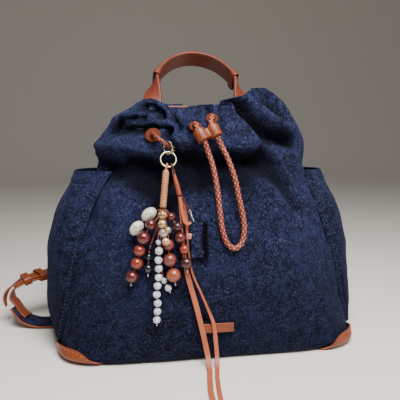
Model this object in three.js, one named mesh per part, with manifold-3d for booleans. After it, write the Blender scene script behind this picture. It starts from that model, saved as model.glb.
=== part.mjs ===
// Drawstring travel backpack: a soft gathered cloth body with side slip pockets, leather trim,
// a braided drawcord, two shoulder straps, and a clipped-on charm of beads, laces and a cloth square.
// Millimetres, +Z up. The front faces -Y and the origin is on the floor under the middle of the base.
import * as THREE from 'three';
import { mergeVertices } from 'three/addons/utils/BufferGeometryUtils.js';
import Module from 'manifold-3d';

const wasm = await Module();
wasm.setup();

// Bag body
const BAG_HEIGHT = 262;
const BAG_HALF_WIDTH = 160;
const BAG_FRONT = 116;
const BAG_BACK = 85;
const BODY_WALL = 3;
const EAR_RISE = 24;
const FOLD_DEPTH = 8;
const FOLD_WIDTH = 9;
const FOLD_GIRTH = 690;
const BODY_COLUMNS = 72;
// Side pockets
const POCKET_HEIGHT = 193;
const POCKET_FOOT = 17;
const POCKET_BULGE = 21;
const POCKET_WALL = 2;
// Leather trim on the body
const PATCH_HEIGHT = 15.5;
const PATCH_LEATHER = 1.5;
const LABEL_WIDTH = 32;
const LABEL_HEIGHT = 9.5;
const LABEL_LEATHER = 1.8;
const LABEL_LEVEL = 37;
const EYELET_RADIUS = 6.4;
const EYELET_LEATHER = 1.8;
const CORD_EXIT = 5;
const YOKE_WIDTH = 160;
const YOKE_TOP = 273;
const YOKE_FOOT = 228;
const YOKE_LEATHER = 3;
// Drawcord and its toggle
const CORD_RADIUS = 2.9;
const SIDE_CORD_RADIUS = 2.3;
const TOGGLE_WALL = 2.7;
const TOGGLE_SEAM_RADIUS = 4.5;
const TOGGLE_CLEARANCE = 1.1;
// Handle
const HANDLE_WIDTH = 25;
const HANDLE_THICKNESS = 4.5;
const HANDLE_HALF_SPAN = 62;
const HANDLE_RISE = 90;
const HANDLE_LEAN = 40;
const HANDLE_SHIFT = 9;
const HANDLE_FOOT = 240;
const KEEPER_LEATHER = 1.6;
const KEEPER_GAP = 0.95;
const STUD_RADIUS = 3.4;
const STUD_HEIGHT = 3;
// Shoulder straps
const STRAP_WIDTH = 28;
const STRAP_THICKNESS = 5;
const BELT_WIDTH = 20;
const BELT_THICKNESS = 2.6;
const TAIL_WIDTH = 17;
const TAIL_THICKNESS = 2.2;
const PAD_LEAD = 6;
const KEEPER_FRAMES = { upper: 8, lower: 6 };
const STUD_FRAME = 10;
// Charm hardware
const RING_RADIUS = 8;
const RING_WIRE = 0.95;
const CLASP_HALF_WIDTH = 5.4;
const CLASP_HALF_HEIGHT = 6.3;
const CLASP_WIRE = 0.85;
const CLASP_TURN = 45;
const GATE_CLEARANCE = 0.3;
const CORD_ASIDE = 0.8;
const STEM_RADIUS = 3.4;
const SLEEVE_RADIUS = 2.7;
const LOOP_RADIUS = 2.7;
const LOOP_WIRE = 1.1;
const THREAD_RADIUS = 0.55;
const SMALL_BEAD = 4.6;
const LACE_WIDTH = 5.4;
const NARROW_LACE_WIDTH = 4.4;
const THIN_LACE_WIDTH = 2;
const LACE_THICKNESS = 1.2;
const SQUARE_THICKNESS = 2.2;
const FRINGE_WIDTH = 5.5;
const TAG_SIZE = 5;
const SEAT_GAP = 0.3;
const CLOTH_GAP = 0.6;
const FLATNESS = 0.06;
const BODY_FLATNESS = 0.4;

// Horizontal sections of the body, as shares of its height, half width, front and back depth.
const SECTIONS = [
  { up: 0, side: 0.96, front: 0.905, back: 0.9, round: 6.5 },
  { up: 0.015, side: 1.01, front: 0.955, back: 0.95, round: 6 },
  { up: 0.05, side: 1.05, front: 0.99, back: 0.985, round: 4.4, lining: false },
  { up: 0.13, side: 1.065, front: 1, back: 1, round: 3.2 },
  { up: 0.26, side: 1.045, front: 0.98, back: 1, round: 2.7, lining: false },
  { up: 0.42, side: 1, front: 0.935, back: 0.98, round: 2.5 },
  { up: 0.57, side: 0.915, front: 0.86, back: 0.93, round: 2.5 },
  { up: 0.7, side: 0.8, front: 0.79, back: 0.85, round: 2.5 },
  { up: 0.76, side: 0.77, front: 0.75, back: 0.8, round: 2.5 },
  { up: 0.82, side: 0.76, front: 0.71, back: 0.75, round: 2.5 },
  { up: 0.88, side: 0.745, front: 0.66, back: 0.69, round: 2.5 },
  { up: 0.92, side: 0.7, front: 0.61, back: 0.63, round: 2.4 },
  { up: 0.96, side: 0.62, front: 0.56, back: 0.58, round: 2.3 },
  { up: 1, side: 0.5, front: 0.53, back: 0.55, round: 2.2 },
];

// Rise of the gathered rim round the mouth. A turn of 0 is the front, 0.25 the side towards +X.
const RIM = [
  { turn: -0.5, rise: 0.25 },
  { turn: -0.4, rise: 0.25 },
  { turn: -0.3, rise: 0.2 },
  { turn: -0.25, rise: 0.17 },
  { turn: -0.2, rise: 0.33 },
  { turn: -0.165, rise: 0.38 },
  { turn: -0.135, rise: 0.2 },
  { turn: -0.1, rise: -0.12 },
  { turn: -0.05, rise: 0 },
  { turn: 0, rise: 0.08 },
  { turn: 0.07, rise: 0.12 },
  { turn: 0.09, rise: 0.35 },
  { turn: 0.12, rise: 0.67 },
  { turn: 0.15, rise: 0.83 },
  { turn: 0.19, rise: 1 },
  { turn: 0.22, rise: 0.9 },
  { turn: 0.25, rise: 0.6 },
  { turn: 0.3, rise: 0.33 },
  { turn: 0.4, rise: 0.25 },
  { turn: 0.5, rise: 0.25 },
];

// Folds run along a straight line from one turn and height share to another. Width and depth are
// shares of FOLD_WIDTH and FOLD_DEPTH, and a negative depth is a ridge.
const FOLDS = [
  { turn: -0.235, up: 1, toTurn: -0.24, toUp: 0.87, width: 0.8, depth: 0.5 },
  { turn: -0.205, up: 1, toTurn: -0.215, toUp: 0.85, width: 0.8, depth: 0.8 },
  { turn: -0.175, up: 1, toTurn: -0.185, toUp: 0.84, width: 0.8, depth: 0.9 },
  { turn: -0.148, up: 1, toTurn: -0.155, toUp: 0.84, width: 0.7, depth: 0.9 },
  { turn: -0.122, up: 1, toTurn: -0.128, toUp: 0.85, width: 0.7, depth: 0.8 },
  { turn: -0.098, up: 1, toTurn: -0.098, toUp: 0.8, width: 0.8, depth: 1 },
  { turn: -0.068, up: 1, toTurn: -0.072, toUp: 0.88, width: 0.7, depth: 0.5 },
  { turn: -0.035, up: 1, toTurn: -0.036, toUp: 0.94, width: 0.7, depth: 0.5 },
  { turn: 0.002, up: 1, toTurn: 0, toUp: 0.95, width: 0.8, depth: 0.7 },
  { turn: 0.086, up: 1, toTurn: 0.118, toUp: 0.82, width: 1.1, depth: 1.3 },
  { turn: 0.118, up: 0.82, toTurn: 0.15, toUp: 0.68, width: 1.5, depth: 1.2 },
  { turn: 0.165, up: 1, toTurn: 0.19, toUp: 0.82, width: 0.9, depth: 1 },
  { turn: 0.205, up: 1, toTurn: 0.215, toUp: 0.86, width: 0.8, depth: 0.8 },
  { turn: 0.24, up: 1, toTurn: 0.242, toUp: 0.88, width: 0.8, depth: 0.7 },
  { turn: 0.272, up: 1, toTurn: 0.272, toUp: 0.86, width: 0.8, depth: 0.7 },
  { turn: 0.302, up: 1, toTurn: 0.304, toUp: 0.84, width: 0.8, depth: 0.8 },
  { turn: 0.334, up: 1, toTurn: 0.332, toUp: 0.85, width: 0.8, depth: 0.7 },
  { turn: -0.334, up: 1, toTurn: -0.33, toUp: 0.84, width: 0.8, depth: 0.7 },
  { turn: -0.302, up: 1, toTurn: -0.304, toUp: 0.86, width: 0.8, depth: 0.8 },
  { turn: -0.268, up: 1, toTurn: -0.27, toUp: 0.85, width: 0.8, depth: 0.7 },
  { turn: -0.225, up: 0.845, toTurn: -0.165, toUp: 0.845, width: 1.3, depth: -0.5 },
  { turn: -0.165, up: 0.845, toTurn: -0.1, toUp: 0.775, width: 1.2, depth: -0.5 },
  { turn: -0.18, up: 0.77, toTurn: -0.105, toUp: 0.69, width: 1.8, depth: 1.1 },
  { turn: -0.105, up: 0.69, toTurn: -0.085, toUp: 0.6, width: 1.8, depth: 0.9 },
  { turn: 0.02, up: 0.84, toTurn: 0.08, toUp: 0.68, width: 2.4, depth: 0.6 },
];

// Height of a side pocket's front and how far it stands off the body, as shares.
const POCKET_ROWS = [
  { up: 0, bulge: 0 },
  { up: 0.097, bulge: 0.36 },
  { up: 0.29, bulge: 0.6 },
  { up: 0.529, bulge: 0.87 },
  { up: 0.752, bulge: 1 },
  { up: 0.945, bulge: 1 },
  { up: 1, bulge: 0.95 },
];
const POCKET_FRONT_TURN = 0.1806;
const POCKET_BACK_TURN = 0.3056;
const PATCH_CORNERS = [
  { name: 'corner_patch_front_left', turn: -0.158, front: 0.034, side: 0.06 },
  { name: 'corner_patch_front_right', turn: 0.158, front: 0.034, side: 0.06 },
  { name: 'corner_patch_back_left', turn: -0.328, front: 0.034, side: 0.045 },
  { name: 'corner_patch_back_right', turn: 0.328, front: 0.034, side: 0.045 },
];

// Routes of the cords and laces. The drawcord runs from one eyelet through the toggle, hangs as a loop
// and comes back through the toggle to the other eyelet. Its two ends are seated at the eyelets.
const DRAWCORD = [
  [-15.3, -84.6, 236], [-9.5, -89, 225.4], [-5.9, -89.6, 214.6], [-1.8, -92.4, 201.7],
  [2.2, -98.4, 177.5], [4.3, -103.8, 152.5], [6.6, -107.8, 133.6], [11.3, -110.2, 121.6],
  [17.9, -111.2, 117.2], [24.8, -110.2, 121.1], [28.7, -107.2, 133.8], [28.3, -104.2, 147.9],
  [24.9, -100.6, 166], [20.7, -96.4, 188.3], [14.4, -91.4, 207.8], [9, -88.4, 219.4],
  [4, -87.6, 229.8], [-1.3, -83.6, 240.6],
];
const SIDE_CORD = [[-56.8, -84.6, 228.4], [-51.5, -88.6, 224], [-47.2, -85, 221], [-43.6, -80.6, 219.2]];
const EYELETS = {
  centre_left: { x: -16.2, level: 239.4 },
  centre_right: { x: 2.6, level: 247 },
  side: { x: -60.6, level: 230.8 },
};
const WIDE_LACE = [
  { at: [-37.2, -101.4, 169.9], across: [1, 0, 0] },
  { at: [-36, -103.4, 149], across: [1, 0, 0] },
  { at: [-33.8, -106, 127], across: [1, 0.1, 0] },
  { at: [-33, -109.8, 109], across: [1, 0.1, 0] },
  { at: [-30.4, -114, 92], across: [1, 0.05, 0.1] },
  { at: [-22.6, -117.6, 62], across: [1, 0, 0.1] },
  { at: [-14.7, -119.6, 27.7], across: [1, 0, 0.1] },
  { at: [-11.6, -124, 10], across: [1, 0.1, 0] },
  { at: [-11.6, -134, 2.2], across: [1, 0, 0] },
  { at: [-14.5, -152, 1.1], across: [1, 0, 0] },
  { at: [-17.8, -176, 1.1], across: [1, 0.1, 0] },
  { at: [-18.6, -198, 1.1], across: [1, 0, 0] },
];
const NARROW_LACE = [
  { at: [-36.2, -98.8, 169.7], across: [1, 0, 0] },
  { at: [-30.2, -101.9, 147], across: [0.9, 0.4, 0] },
  { at: [-29.2, -108, 121.4], across: [0.3, 1, 0] },
  { at: [-26.2, -114.6, 96.1], across: [0.3, 1, 0] },
  { at: [-16.4, -118.6, 71.8], across: [0.3, 1, 0.1] },
  { at: [-10.8, -119.4, 58], across: [0.5, 1, 0.1] },
  { at: [-5.2, -119.4, 42.8], across: [1, 0.5, 0] },
  { at: [-3.2, -120.2, 26.9], across: [1, 0, 0] },
  { at: [-2.4, -124.6, 9.4], across: [1, 0, 0] },
  { at: [-4, -134, 2.1], across: [1, 0, 0] },
  { at: [-7.2, -152, 1.1], across: [1, 0, 0] },
  { at: [-10.2, -176, 1.1], across: [1, 0, 0] },
  { at: [-11.8, -197, 1.1], across: [1, 0, 0] },
];
const THIN_LACE = [
  { at: [-35.4, -103.2, 169.7], across: [1, 0, 0.3] },
  { at: [-31.3, -104, 161.4], across: [0.9, 0.2, 0.4] },
  { at: [-26.9, -104.6, 154.6], across: [0.8, 0.2, 0.5] },
];

// Strings of beads hanging from the stem: points of the thread, and beads where a radius is given.
const STRINGS = {
  ovals: [
    { at: [-55.4, -100.6, 157.8] }, { at: [-58.4, -100, 156.4] },
    { at: [-67.4, -100.4, 152.4], radius: 6.2, long: 8.3 }, { at: [-79.8, -101, 138.9], radius: 6, long: 8.2 },
  ],
  patterned: [
    { at: [-53.8, -103.9, 158] }, { at: [-54.6, -109.6, 156.4] },
    { at: [-54.9, -113.4, 153.6], radius: 4.6 }, { at: [-55.2, -116, 144.8], radius: 4.6 },
    { at: [-54.6, -118.4, 136.2], radius: 4.5 }, { at: [-52.4, -120.6, 128.2], radius: 4 },
  ],
  brown: [
    { at: [-51.6, -103.4, 157.8] }, { at: [-51.7, -107.2, 146] },
    { at: [-49.3, -108.4, 137.2], radius: 3.6 }, { at: [-49.3, -111.6, 122.9], radius: 6 },
    { at: [-48.2, -115, 108.6], radius: 6.8 }, { at: [-44.9, -117.6, 93.8], radius: 7.1 },
    { at: [-43.2, -118.4, 84.6] },
  ],
  red_left: [
    { at: [-55.8, -103, 157.8] }, { at: [-59, -105.4, 149.6] },
    { at: [-66, -108.8, 143.1], radius: 5.7 }, { at: [-73.4, -110.6, 130.6], radius: 6.7 },
    { at: [-77.6, -109.8, 118], radius: 5.9 }, { at: [-80.3, -110, 105.2], radius: 6.2 },
    { at: [-85.4, -110.2, 91.8], radius: 6.4 }, { at: [-86.4, -110.4, 83.6] },
  ],
  red_right: [
    { at: [-51.9, -101.2, 157.8] }, { at: [-48.6, -103.4, 154.6] },
    { at: [-46, -105.6, 150.1], radius: 4.6 }, { at: [-40.2, -110, 140.6], radius: 4.9 },
    { at: [-37.6, -113.4, 130.2], radius: 5.6 }, { at: [-34, -117, 119], radius: 5 },
    { at: [-32.4, -119.6, 105.8], radius: 6 }, { at: [-31.8, -120.4, 97.6] },
  ],
  black: [
    { at: [-54.4, -99, 157.8] }, { at: [-57, -100.6, 146] }, { at: [-64, -103.4, 128] },
    { at: [-67, -105.6, 120.4], radius: 3 }, { at: [-68.6, -107.6, 110.6], radius: 4 },
    { at: [-69.2, -109.6, 99.4], radius: 4.9 }, { at: [-69.6, -110.2, 92.2] },
  ],
  white_long: [
    { at: [-53.4, -101.2, 157.8] }, { at: [-56.2, -103.4, 146] }, { at: [-59, -110.4, 134] },
    { at: [-59.3, -115.4, 126.8], radius: 2.6 }, { at: [-59, -117, 118.6], radius: 4 },
    { at: [-59.6, -117.4, 109.6], radius: 3.9 }, { at: [-59.4, -117, 100.9], radius: 3.9 },
    { at: [-59.6, -116.6, 92.2], radius: 3.9 }, { at: [-60.8, -116.4, 83.5], radius: 3.9 },
    { at: [-61.6, -116.8, 74.8], radius: 3.9 }, { at: [-60.9, -117.6, 66.2], radius: 3.9 },
    { at: [-61.3, -118.4, 58], radius: 3.8 }, { at: [-62, -119, 49.8], radius: 3.8 }, { at: [-62.1, -119.2, 44.6] },
  ],
  white_short: [
    { at: [-52.6, -99.4, 157.8] }, { at: [-55.6, -102.6, 138] }, { at: [-56.6, -105.6, 118] },
    { at: [-55.6, -110.4, 97] }, { at: [-54.1, -112.6, 87.2], radius: 3.1 },
    { at: [-50, -114.6, 80.3], radius: 3.6 }, { at: [-48.2, -115.2, 76.2] },
  ],
};

// Shoulder straps: way points with the direction across the strap. Each pad hangs from the yoke, its
// belt runs on from the pad, and the strap end is sewn to the side of the bag near the base.
const LEFT_PAD = [
  { at: [-21, 0, 236], across: [1, 0, 0] },
  { at: [-21, 0, 252], across: [1, 0, 0] },
  { at: [-22, 1, 266], across: [1, 0, 0] },
  { at: [-27, 14, 283], across: [1, 0, 0] },
  { at: [-36, 34, 274], across: [1, 0, 0] },
  { at: [-48, 45, 244], across: [1, 0, 0] },
  { at: [-64, 54, 204], across: [1, 0, 0] },
  { at: [-84, 59, 160], across: [1, 0, -0.4] },
  { at: [-106, 57, 120], across: [1, 0, -0.6] },
  { at: [-128, 49, 90], across: [1, 0, -0.7] },
  { at: [-147, 38, 72], across: [1, 0, -0.8] },
];
const RIGHT_PAD = [
  { at: [39, 0, 236], across: [1, 0, 0] },
  { at: [39, 0, 252], across: [1, 0, 0] },
  { at: [40, 1, 266], across: [1, 0, 0] },
  { at: [44, 14, 283], across: [1, 0, 0] },
  { at: [50, 34, 274], across: [1, 0, 0] },
  { at: [58, 45, 244], across: [1, 0, 0] },
  { at: [72, 54, 204], across: [1, 0, 0] },
  { at: [92, 59, 160], across: [1, 0, -0.2] },
  { at: [106, 61, 128], across: [1, 0, -0.2] },
  { at: [115, 62, 100], across: [1, 0, -0.1] },
  { at: [121, 61, 76], across: [1, 0, 0] },
];
const LEFT_END = [
  { at: [-164.8, 12, 4.4], across: [0, 1, 0] },
  { at: [-182, 13, 3.6], across: [0, 1, 0] },
  { at: [-202, 15, 4.4], across: [0, 1, 0] },
  { at: [-218, 18, 11], across: [0, 1, 0] },
  { at: [-227.6, 21, 23.4], across: [0, 1, 0] },
];
const LEFT_BELT = [
  { at: [-230.6, 25, 34], across: [0, 1, 0.1] },
  { at: [-229.6, 29, 43], across: [0, 1, 0.1] },
  { at: [-219, 34, 51], across: [-0.1, 1, 0.1] },
  { at: [-205, 41, 54], across: [-0.3, 1, 0.1] },
  { at: [-190, 53, 55], across: [-0.6, 0.8, 0.1] },
  { at: [-173, 75, 58], across: [-0.8, 0.5, 0.3] },
];
const RIGHT_END = [
  { at: [182, 8, 15.4], across: [0, 0, 1] },
  { at: [183, 26, 15.4], across: [0, 0, 1] },
  { at: [181, 44, 15.6], across: [0, 0, 1] },
  { at: [176, 60, 16], across: [0, 0, 1] },
  { at: [168, 75, 17], across: [0, 0, 1] },
];
const RIGHT_BELT = [
  { at: [155, 94, 16], across: [0, 0, 1] },
  { at: [146, 108, 15], across: [0, 0, 1] },
  { at: [135, 120, 15], across: [0, 0, 1] },
  { at: [124, 130, 20], across: [0.3, 0, 1] },
  { at: [118, 136, 34], across: [0.8, 0, 0.6] },
  { at: [119, 135, 52], across: [1, 0, 0] },
];
// The free tail of a belt, from under its last keeper to its point: the belt frame, its width and how
// far it stands off, as shares of TAIL_WIDTH and TAIL_THICKNESS.
const TAIL_ROWS = [
  { frame: 12, width: 0.9, stand: 0 },
  { frame: 11, width: 1, stand: 0 },
  { frame: 10, width: 1, stand: 0 },
  { frame: 9, width: 1, stand: 0 },
  { frame: 8, width: 1, stand: 0 },
  { frame: 7, width: 1, stand: 0 },
  { frame: 6, width: 1, stand: 0 },
  { frame: 5, width: 1, stand: 0 },
  { frame: 4, width: 0.84, stand: 2.2 },
  { frame: 3, width: 0.14, stand: 4.6 },
];

// Small vector and mesh helpers
const vector = ([x, y, z]) => new THREE.Vector3(x, y, z);
const mix = (a, b, share) => a + (b - a) * share;

function between(rows, key, value) {
  const next = Math.max(1, rows.findIndex((row) => row[key] >= value));
  const last = value > rows[rows.length - 1][key] ? rows.length - 1 : next;
  const from = rows[last - 1];
  const to = rows[last];
  const share = THREE.MathUtils.clamp((value - from[key]) / (to[key] - from[key]), 0, 1);
  return (name) => mix(from[name], to[name], share);
}

function closedMesh(points, triangles) {
  let volume = 0;
  for (const [a, b, c] of triangles) {
    volume += points[a].dot(points[b].clone().cross(points[c]));
  }
  const outward = volume > 0 ? triangles : triangles.map(([a, b, c]) => [a, c, b]);
  const geometry = new THREE.BufferGeometry();
  geometry.setAttribute('position', new THREE.Float32BufferAttribute(points.flatMap((p) => p.toArray()), 3));
  geometry.setIndex(outward.flat());
  return geometry;
}

// A closed skin through rings of points, with a flat cap on the first and the last ring.
function loft(rings) {
  const count = rings[0].length;
  const points = rings.flat();
  const triangles = [];
  for (let ring = 0; ring < rings.length - 1; ring += 1) {
    for (let side = 0; side < count; side += 1) {
      const a = ring * count + side;
      const b = ring * count + ((side + 1) % count);
      triangles.push([a, b, b + count], [a, b + count, a + count]);
    }
  }
  const end = (rings.length - 1) * count;
  for (let side = 1; side < count - 1; side += 1) {
    triangles.push([0, side + 1, side], [end, end + side, end + side + 1]);
  }
  return closedMesh(points, triangles);
}

// A sheet with thickness: place(row, column, face) gives the point on face 0 or 1.
function sheet(rows, columns, place) {
  const rings = [];
  for (let column = 0; column < columns; column += 1) {
    const ring = [];
    for (let row = 0; row < rows; row += 1) {
      ring.push(place(row, column, 0));
    }
    for (let row = rows - 1; row >= 0; row -= 1) {
      ring.push(place(row, column, 1));
    }
    rings.push(ring);
  }
  const count = rings[0].length;
  const points = rings.flat();
  const triangles = [];
  for (let ring = 0; ring < rings.length - 1; ring += 1) {
    for (let side = 0; side < count; side += 1) {
      const a = ring * count + side;
      const b = ring * count + ((side + 1) % count);
      triangles.push([a, b, b + count], [a, b + count, a + count]);
    }
  }
  for (const start of [0, (rings.length - 1) * count]) {
    const turn = start === 0 ? 1 : -1;
    for (let row = 0; row < rows - 1; row += 1) {
      const a = start + row;
      const b = start + row + 1;
      const c = start + count - 2 - row;
      const d = start + count - 1 - row;
      triangles.push(...(turn > 0 ? [[a, c, b], [a, d, c]] : [[a, b, c], [a, c, d]]));
    }
  }
  return closedMesh(points, triangles);
}

function toManifold(geometry) {
  const clean = geometry.clone();
  clean.deleteAttribute('normal');
  clean.deleteAttribute('uv');
  const merged = mergeVertices(clean, 1e-4);
  return new wasm.Manifold(new wasm.Mesh({
    numProp: 3,
    vertProperties: Float32Array.from(merged.attributes.position.array),
    triVerts: Uint32Array.from(merged.index.array),
  }));
}

function fromManifold(solid) {
  const mesh = solid.getMesh();
  const geometry = new THREE.BufferGeometry();
  geometry.setAttribute('position', new THREE.BufferAttribute(Float32Array.from(mesh.vertProperties), 3));
  geometry.setIndex(Array.from(mesh.triVerts));
  return geometry;
}

// The same solid with fewer faces, moved by no more than the flatness.
const simpler = (geometry, flatness) => fromManifold(toManifold(geometry).simplify(flatness));
const join = (...shapes) => fromManifold(shapes.map(toManifold).reduce((sum, next) => sum.add(next)));
const cut = (shape, ...tools) => fromManifold(tools.map(toManifold).reduce((rest, tool) => rest.subtract(tool), toManifold(shape)));

// A round bar from one point to another.
function bar(from, to, radius, sides = 12) {
  const length = from.distanceTo(to);
  const geometry = new THREE.CylinderGeometry(radius, radius, length, sides);
  const axis = to.clone().sub(from).normalize();
  geometry.applyQuaternion(new THREE.Quaternion().setFromUnitVectors(new THREE.Vector3(0, 1, 0), axis));
  const middle = from.clone().add(to).multiplyScalar(0.5);
  return geometry.translate(middle.x, middle.y, middle.z);
}

function hoop(centre, axis, radius, wire, segments = 16, sides = 6) {
  const geometry = new THREE.TorusGeometry(radius, wire, sides, segments);
  geometry.applyQuaternion(new THREE.Quaternion().setFromUnitVectors(new THREE.Vector3(0, 0, 1), axis.clone().normalize()));
  return geometry.translate(centre.x, centre.y, centre.z);
}

// Body
function foldDepth(turn, up) {
  let depth = 0;
  for (const fold of FOLDS) {
    const alongTurn = (fold.toTurn - fold.turn) * FOLD_GIRTH;
    const alongUp = (fold.toUp - fold.up) * BAG_HEIGHT;
    let away = turn - fold.turn;
    away -= Math.round(away);
    const acrossTurn = away * FOLD_GIRTH;
    const acrossUp = (up - fold.up) * BAG_HEIGHT;
    const reach = (acrossTurn * alongTurn + acrossUp * alongUp) / (alongTurn ** 2 + alongUp ** 2);
    const share = THREE.MathUtils.clamp(reach, 0, 1);
    const gap = Math.hypot(acrossTurn - share * alongTurn, acrossUp - share * alongUp);
    const fade = fold.up === 1 ? 1 - 0.7 * share : 1;
    depth += fold.depth * FOLD_DEPTH * fade * Math.exp(-((gap / (fold.width * FOLD_WIDTH)) ** 2));
  }
  return depth;
}

function bodyPoint(turn, up, outward = 0) {
  const section = between(SECTIONS, 'up', up);
  const angle = turn * 2 * Math.PI;
  const sine = Math.sin(angle);
  const cosine = Math.cos(angle);
  const deep = cosine > 0 ? BAG_FRONT * section('front') : BAG_BACK * section('back');
  const round = section('round');
  const share = (Math.abs(cosine) / deep) ** round + (Math.abs(sine) / (BAG_HALF_WIDTH * section('side'))) ** round;
  const radius = share ** (-1 / round) - foldDepth(turn, up) + outward;
  const wrapped = turn - Math.round(turn);
  const lift = THREE.MathUtils.smoothstep(up, 0.86, 1) * between(RIM, 'turn', wrapped)('rise') * EAR_RISE;
  return new THREE.Vector3(radius * sine, -radius * cosine, up * BAG_HEIGHT + lift);
}

const bodyTurns = Array.from({ length: BODY_COLUMNS }, (_, column) => column / BODY_COLUMNS);

function bodyShell() {
  const ring = (up, outward) => bodyTurns.map((turn) => bodyPoint(turn, up, outward));
  const outer = SECTIONS.map(({ up }) => ring(up, 0));
  const inner = SECTIONS.filter(({ lining }) => lining !== false).slice(1).reverse().map(({ up }) => ring(up, -BODY_WALL));
  return simpler(loft([...outer, ...inner]), BODY_FLATNESS);
}

// The turn at which the front of the body crosses a given x.
function frontTurn(x, up) {
  let low = -0.2;
  let high = 0.2;
  for (let step = 0; step < 30; step += 1) {
    const middle = (low + high) / 2;
    if (bodyPoint(middle, up).x < x) {
      low = middle;
    } else {
      high = middle;
    }
  }
  return (low + high) / 2;
}

const turnsBetween = (from, to) => {
  const edge = 0.5 / BODY_COLUMNS;
  const columns = bodyTurns.map((turn) => (turn > 0.5 ? turn - 1 : turn)).sort((a, b) => a - b);
  return columns.filter((turn) => turn > from - edge && turn < to + edge);
};

function sidePocket(side) {
  const turns = side > 0
    ? turnsBetween(POCKET_FRONT_TURN, POCKET_BACK_TURN)
    : turnsBetween(-POCKET_BACK_TURN, -POCKET_FRONT_TURN);
  const place = (row, column, face) => {
    const { up, bulge } = POCKET_ROWS[row];
    const share = column / (turns.length - 1);
    const arch = Math.sin(Math.PI * share) ** 0.6;
    const outward = CLOTH_GAP + bulge * arch * POCKET_BULGE + face * POCKET_WALL;
    return bodyPoint(turns[column], mix(POCKET_FOOT, POCKET_HEIGHT, up) / BAG_HEIGHT, outward);
  };
  return sheet(POCKET_ROWS.length, turns.length, place);
}

function cornerPatch({ turn, front, side }) {
  const sign = Math.sign(turn);
  const corner = Math.abs(turn);
  const towardsSide = corner < 0.25 ? 1 : -1;
  const low = corner - (towardsSide > 0 ? front : side);
  const high = corner + (towardsSide > 0 ? side : front);
  const turns = (sign > 0 ? turnsBetween(low, high) : turnsBetween(-high, -low));
  const place = (row, column, face) => {
    const away = (Math.abs(turns[column]) - corner) * towardsSide;
    const reach = (away > 0 ? away / side : -away / front) / 1.25;
    const top = Math.max(PATCH_HEIGHT * (1 - reach ** 2), 0.4 * PATCH_HEIGHT) / BAG_HEIGHT;
    const up = [0.004, SECTIONS[1].up, Math.min(SECTIONS[2].up, 0.85 * top), top][row];
    return bodyPoint(turns[column], up, 1.3 * CLOTH_GAP + face * PATCH_LEATHER);
  };
  return sheet(4, turns.length, place);
}

function labelBar() {
  const columns = 6;
  const place = (row, column, face) => {
    const up = (LABEL_LEVEL + (row - 0.5) * LABEL_HEIGHT) / BAG_HEIGHT;
    const x = (column / (columns - 1) - 0.5) * LABEL_WIDTH;
    return bodyPoint(frontTurn(x, up), up, CLOTH_GAP + face * LABEL_LEATHER);
  };
  return sheet(2, columns, place);
}

// The yoke stands flat behind the back rim and carries the handle and both strap tops.
const yokeFront = BAG_BACK * 0.69 + 3;
const yokeBack = yokeFront + YOKE_LEATHER;

function yoke() {
  const outline = new THREE.Shape();
  const half = YOKE_WIDTH / 2;
  const corner = 8;
  outline.moveTo(-half + corner, YOKE_FOOT);
  outline.lineTo(half - corner, YOKE_FOOT);
  outline.quadraticCurveTo(half, YOKE_FOOT, half, YOKE_FOOT + corner);
  outline.lineTo(half, YOKE_TOP - corner);
  outline.quadraticCurveTo(half, YOKE_TOP, half - corner, YOKE_TOP);
  outline.lineTo(-half + corner, YOKE_TOP);
  outline.quadraticCurveTo(-half, YOKE_TOP, -half, YOKE_TOP - corner);
  outline.lineTo(-half, YOKE_FOOT + corner);
  outline.quadraticCurveTo(-half, YOKE_FOOT, -half + corner, YOKE_FOOT);
  const plate = new THREE.ExtrudeGeometry(outline, { depth: YOKE_LEATHER, bevelEnabled: false, curveSegments: 3 });
  return plate.rotateX(Math.PI / 2).translate(HANDLE_SHIFT, yokeBack, 0);
}

// A flat band swept through way points, with the direction across it given at each.
function bandFrames(rows, steps) {
  const centre = new THREE.CatmullRomCurve3(rows.map((row) => vector(row.at)), false, 'centripetal');
  const across = new THREE.CatmullRomCurve3(rows.map((row) => vector(row.across)), false, 'centripetal');
  return Array.from({ length: steps + 1 }, (_, step) => {
    const share = centre.getUtoTmapping(step / steps);
    const along = centre.getTangent(share);
    const face = along.clone().cross(across.getPoint(share)).normalize();
    return { point: centre.getPoint(share), along, face, across: face.clone().cross(along).normalize() };
  });
}

function bandRing({ point, across, face }, width, thickness, lift = 0) {
  const corners = [[-1, -1], [1, -1], [1, 1], [-1, 1]];
  return corners.map(([u, v]) => point.clone()
    .addScaledVector(across, (u * width) / 2)
    .addScaledVector(face, lift + (v * thickness) / 2));
}

const band = (rows, steps, width, thickness) => loft(bandFrames(rows, steps).map((frame) => bandRing(frame, width, thickness)));

// Handle: an arch that leans back, with its two feet sewn flat on the yoke.
const lean = THREE.MathUtils.degToRad(HANDLE_LEAN);
const handleY = yokeBack + SEAT_GAP + HANDLE_THICKNESS / 2;
const handleBase = YOKE_TOP + 4;

function handlePoint(x, rise) {
  return [HANDLE_SHIFT + x, handleY + rise * Math.sin(lean), handleBase + rise * Math.cos(lean)];
}

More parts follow.
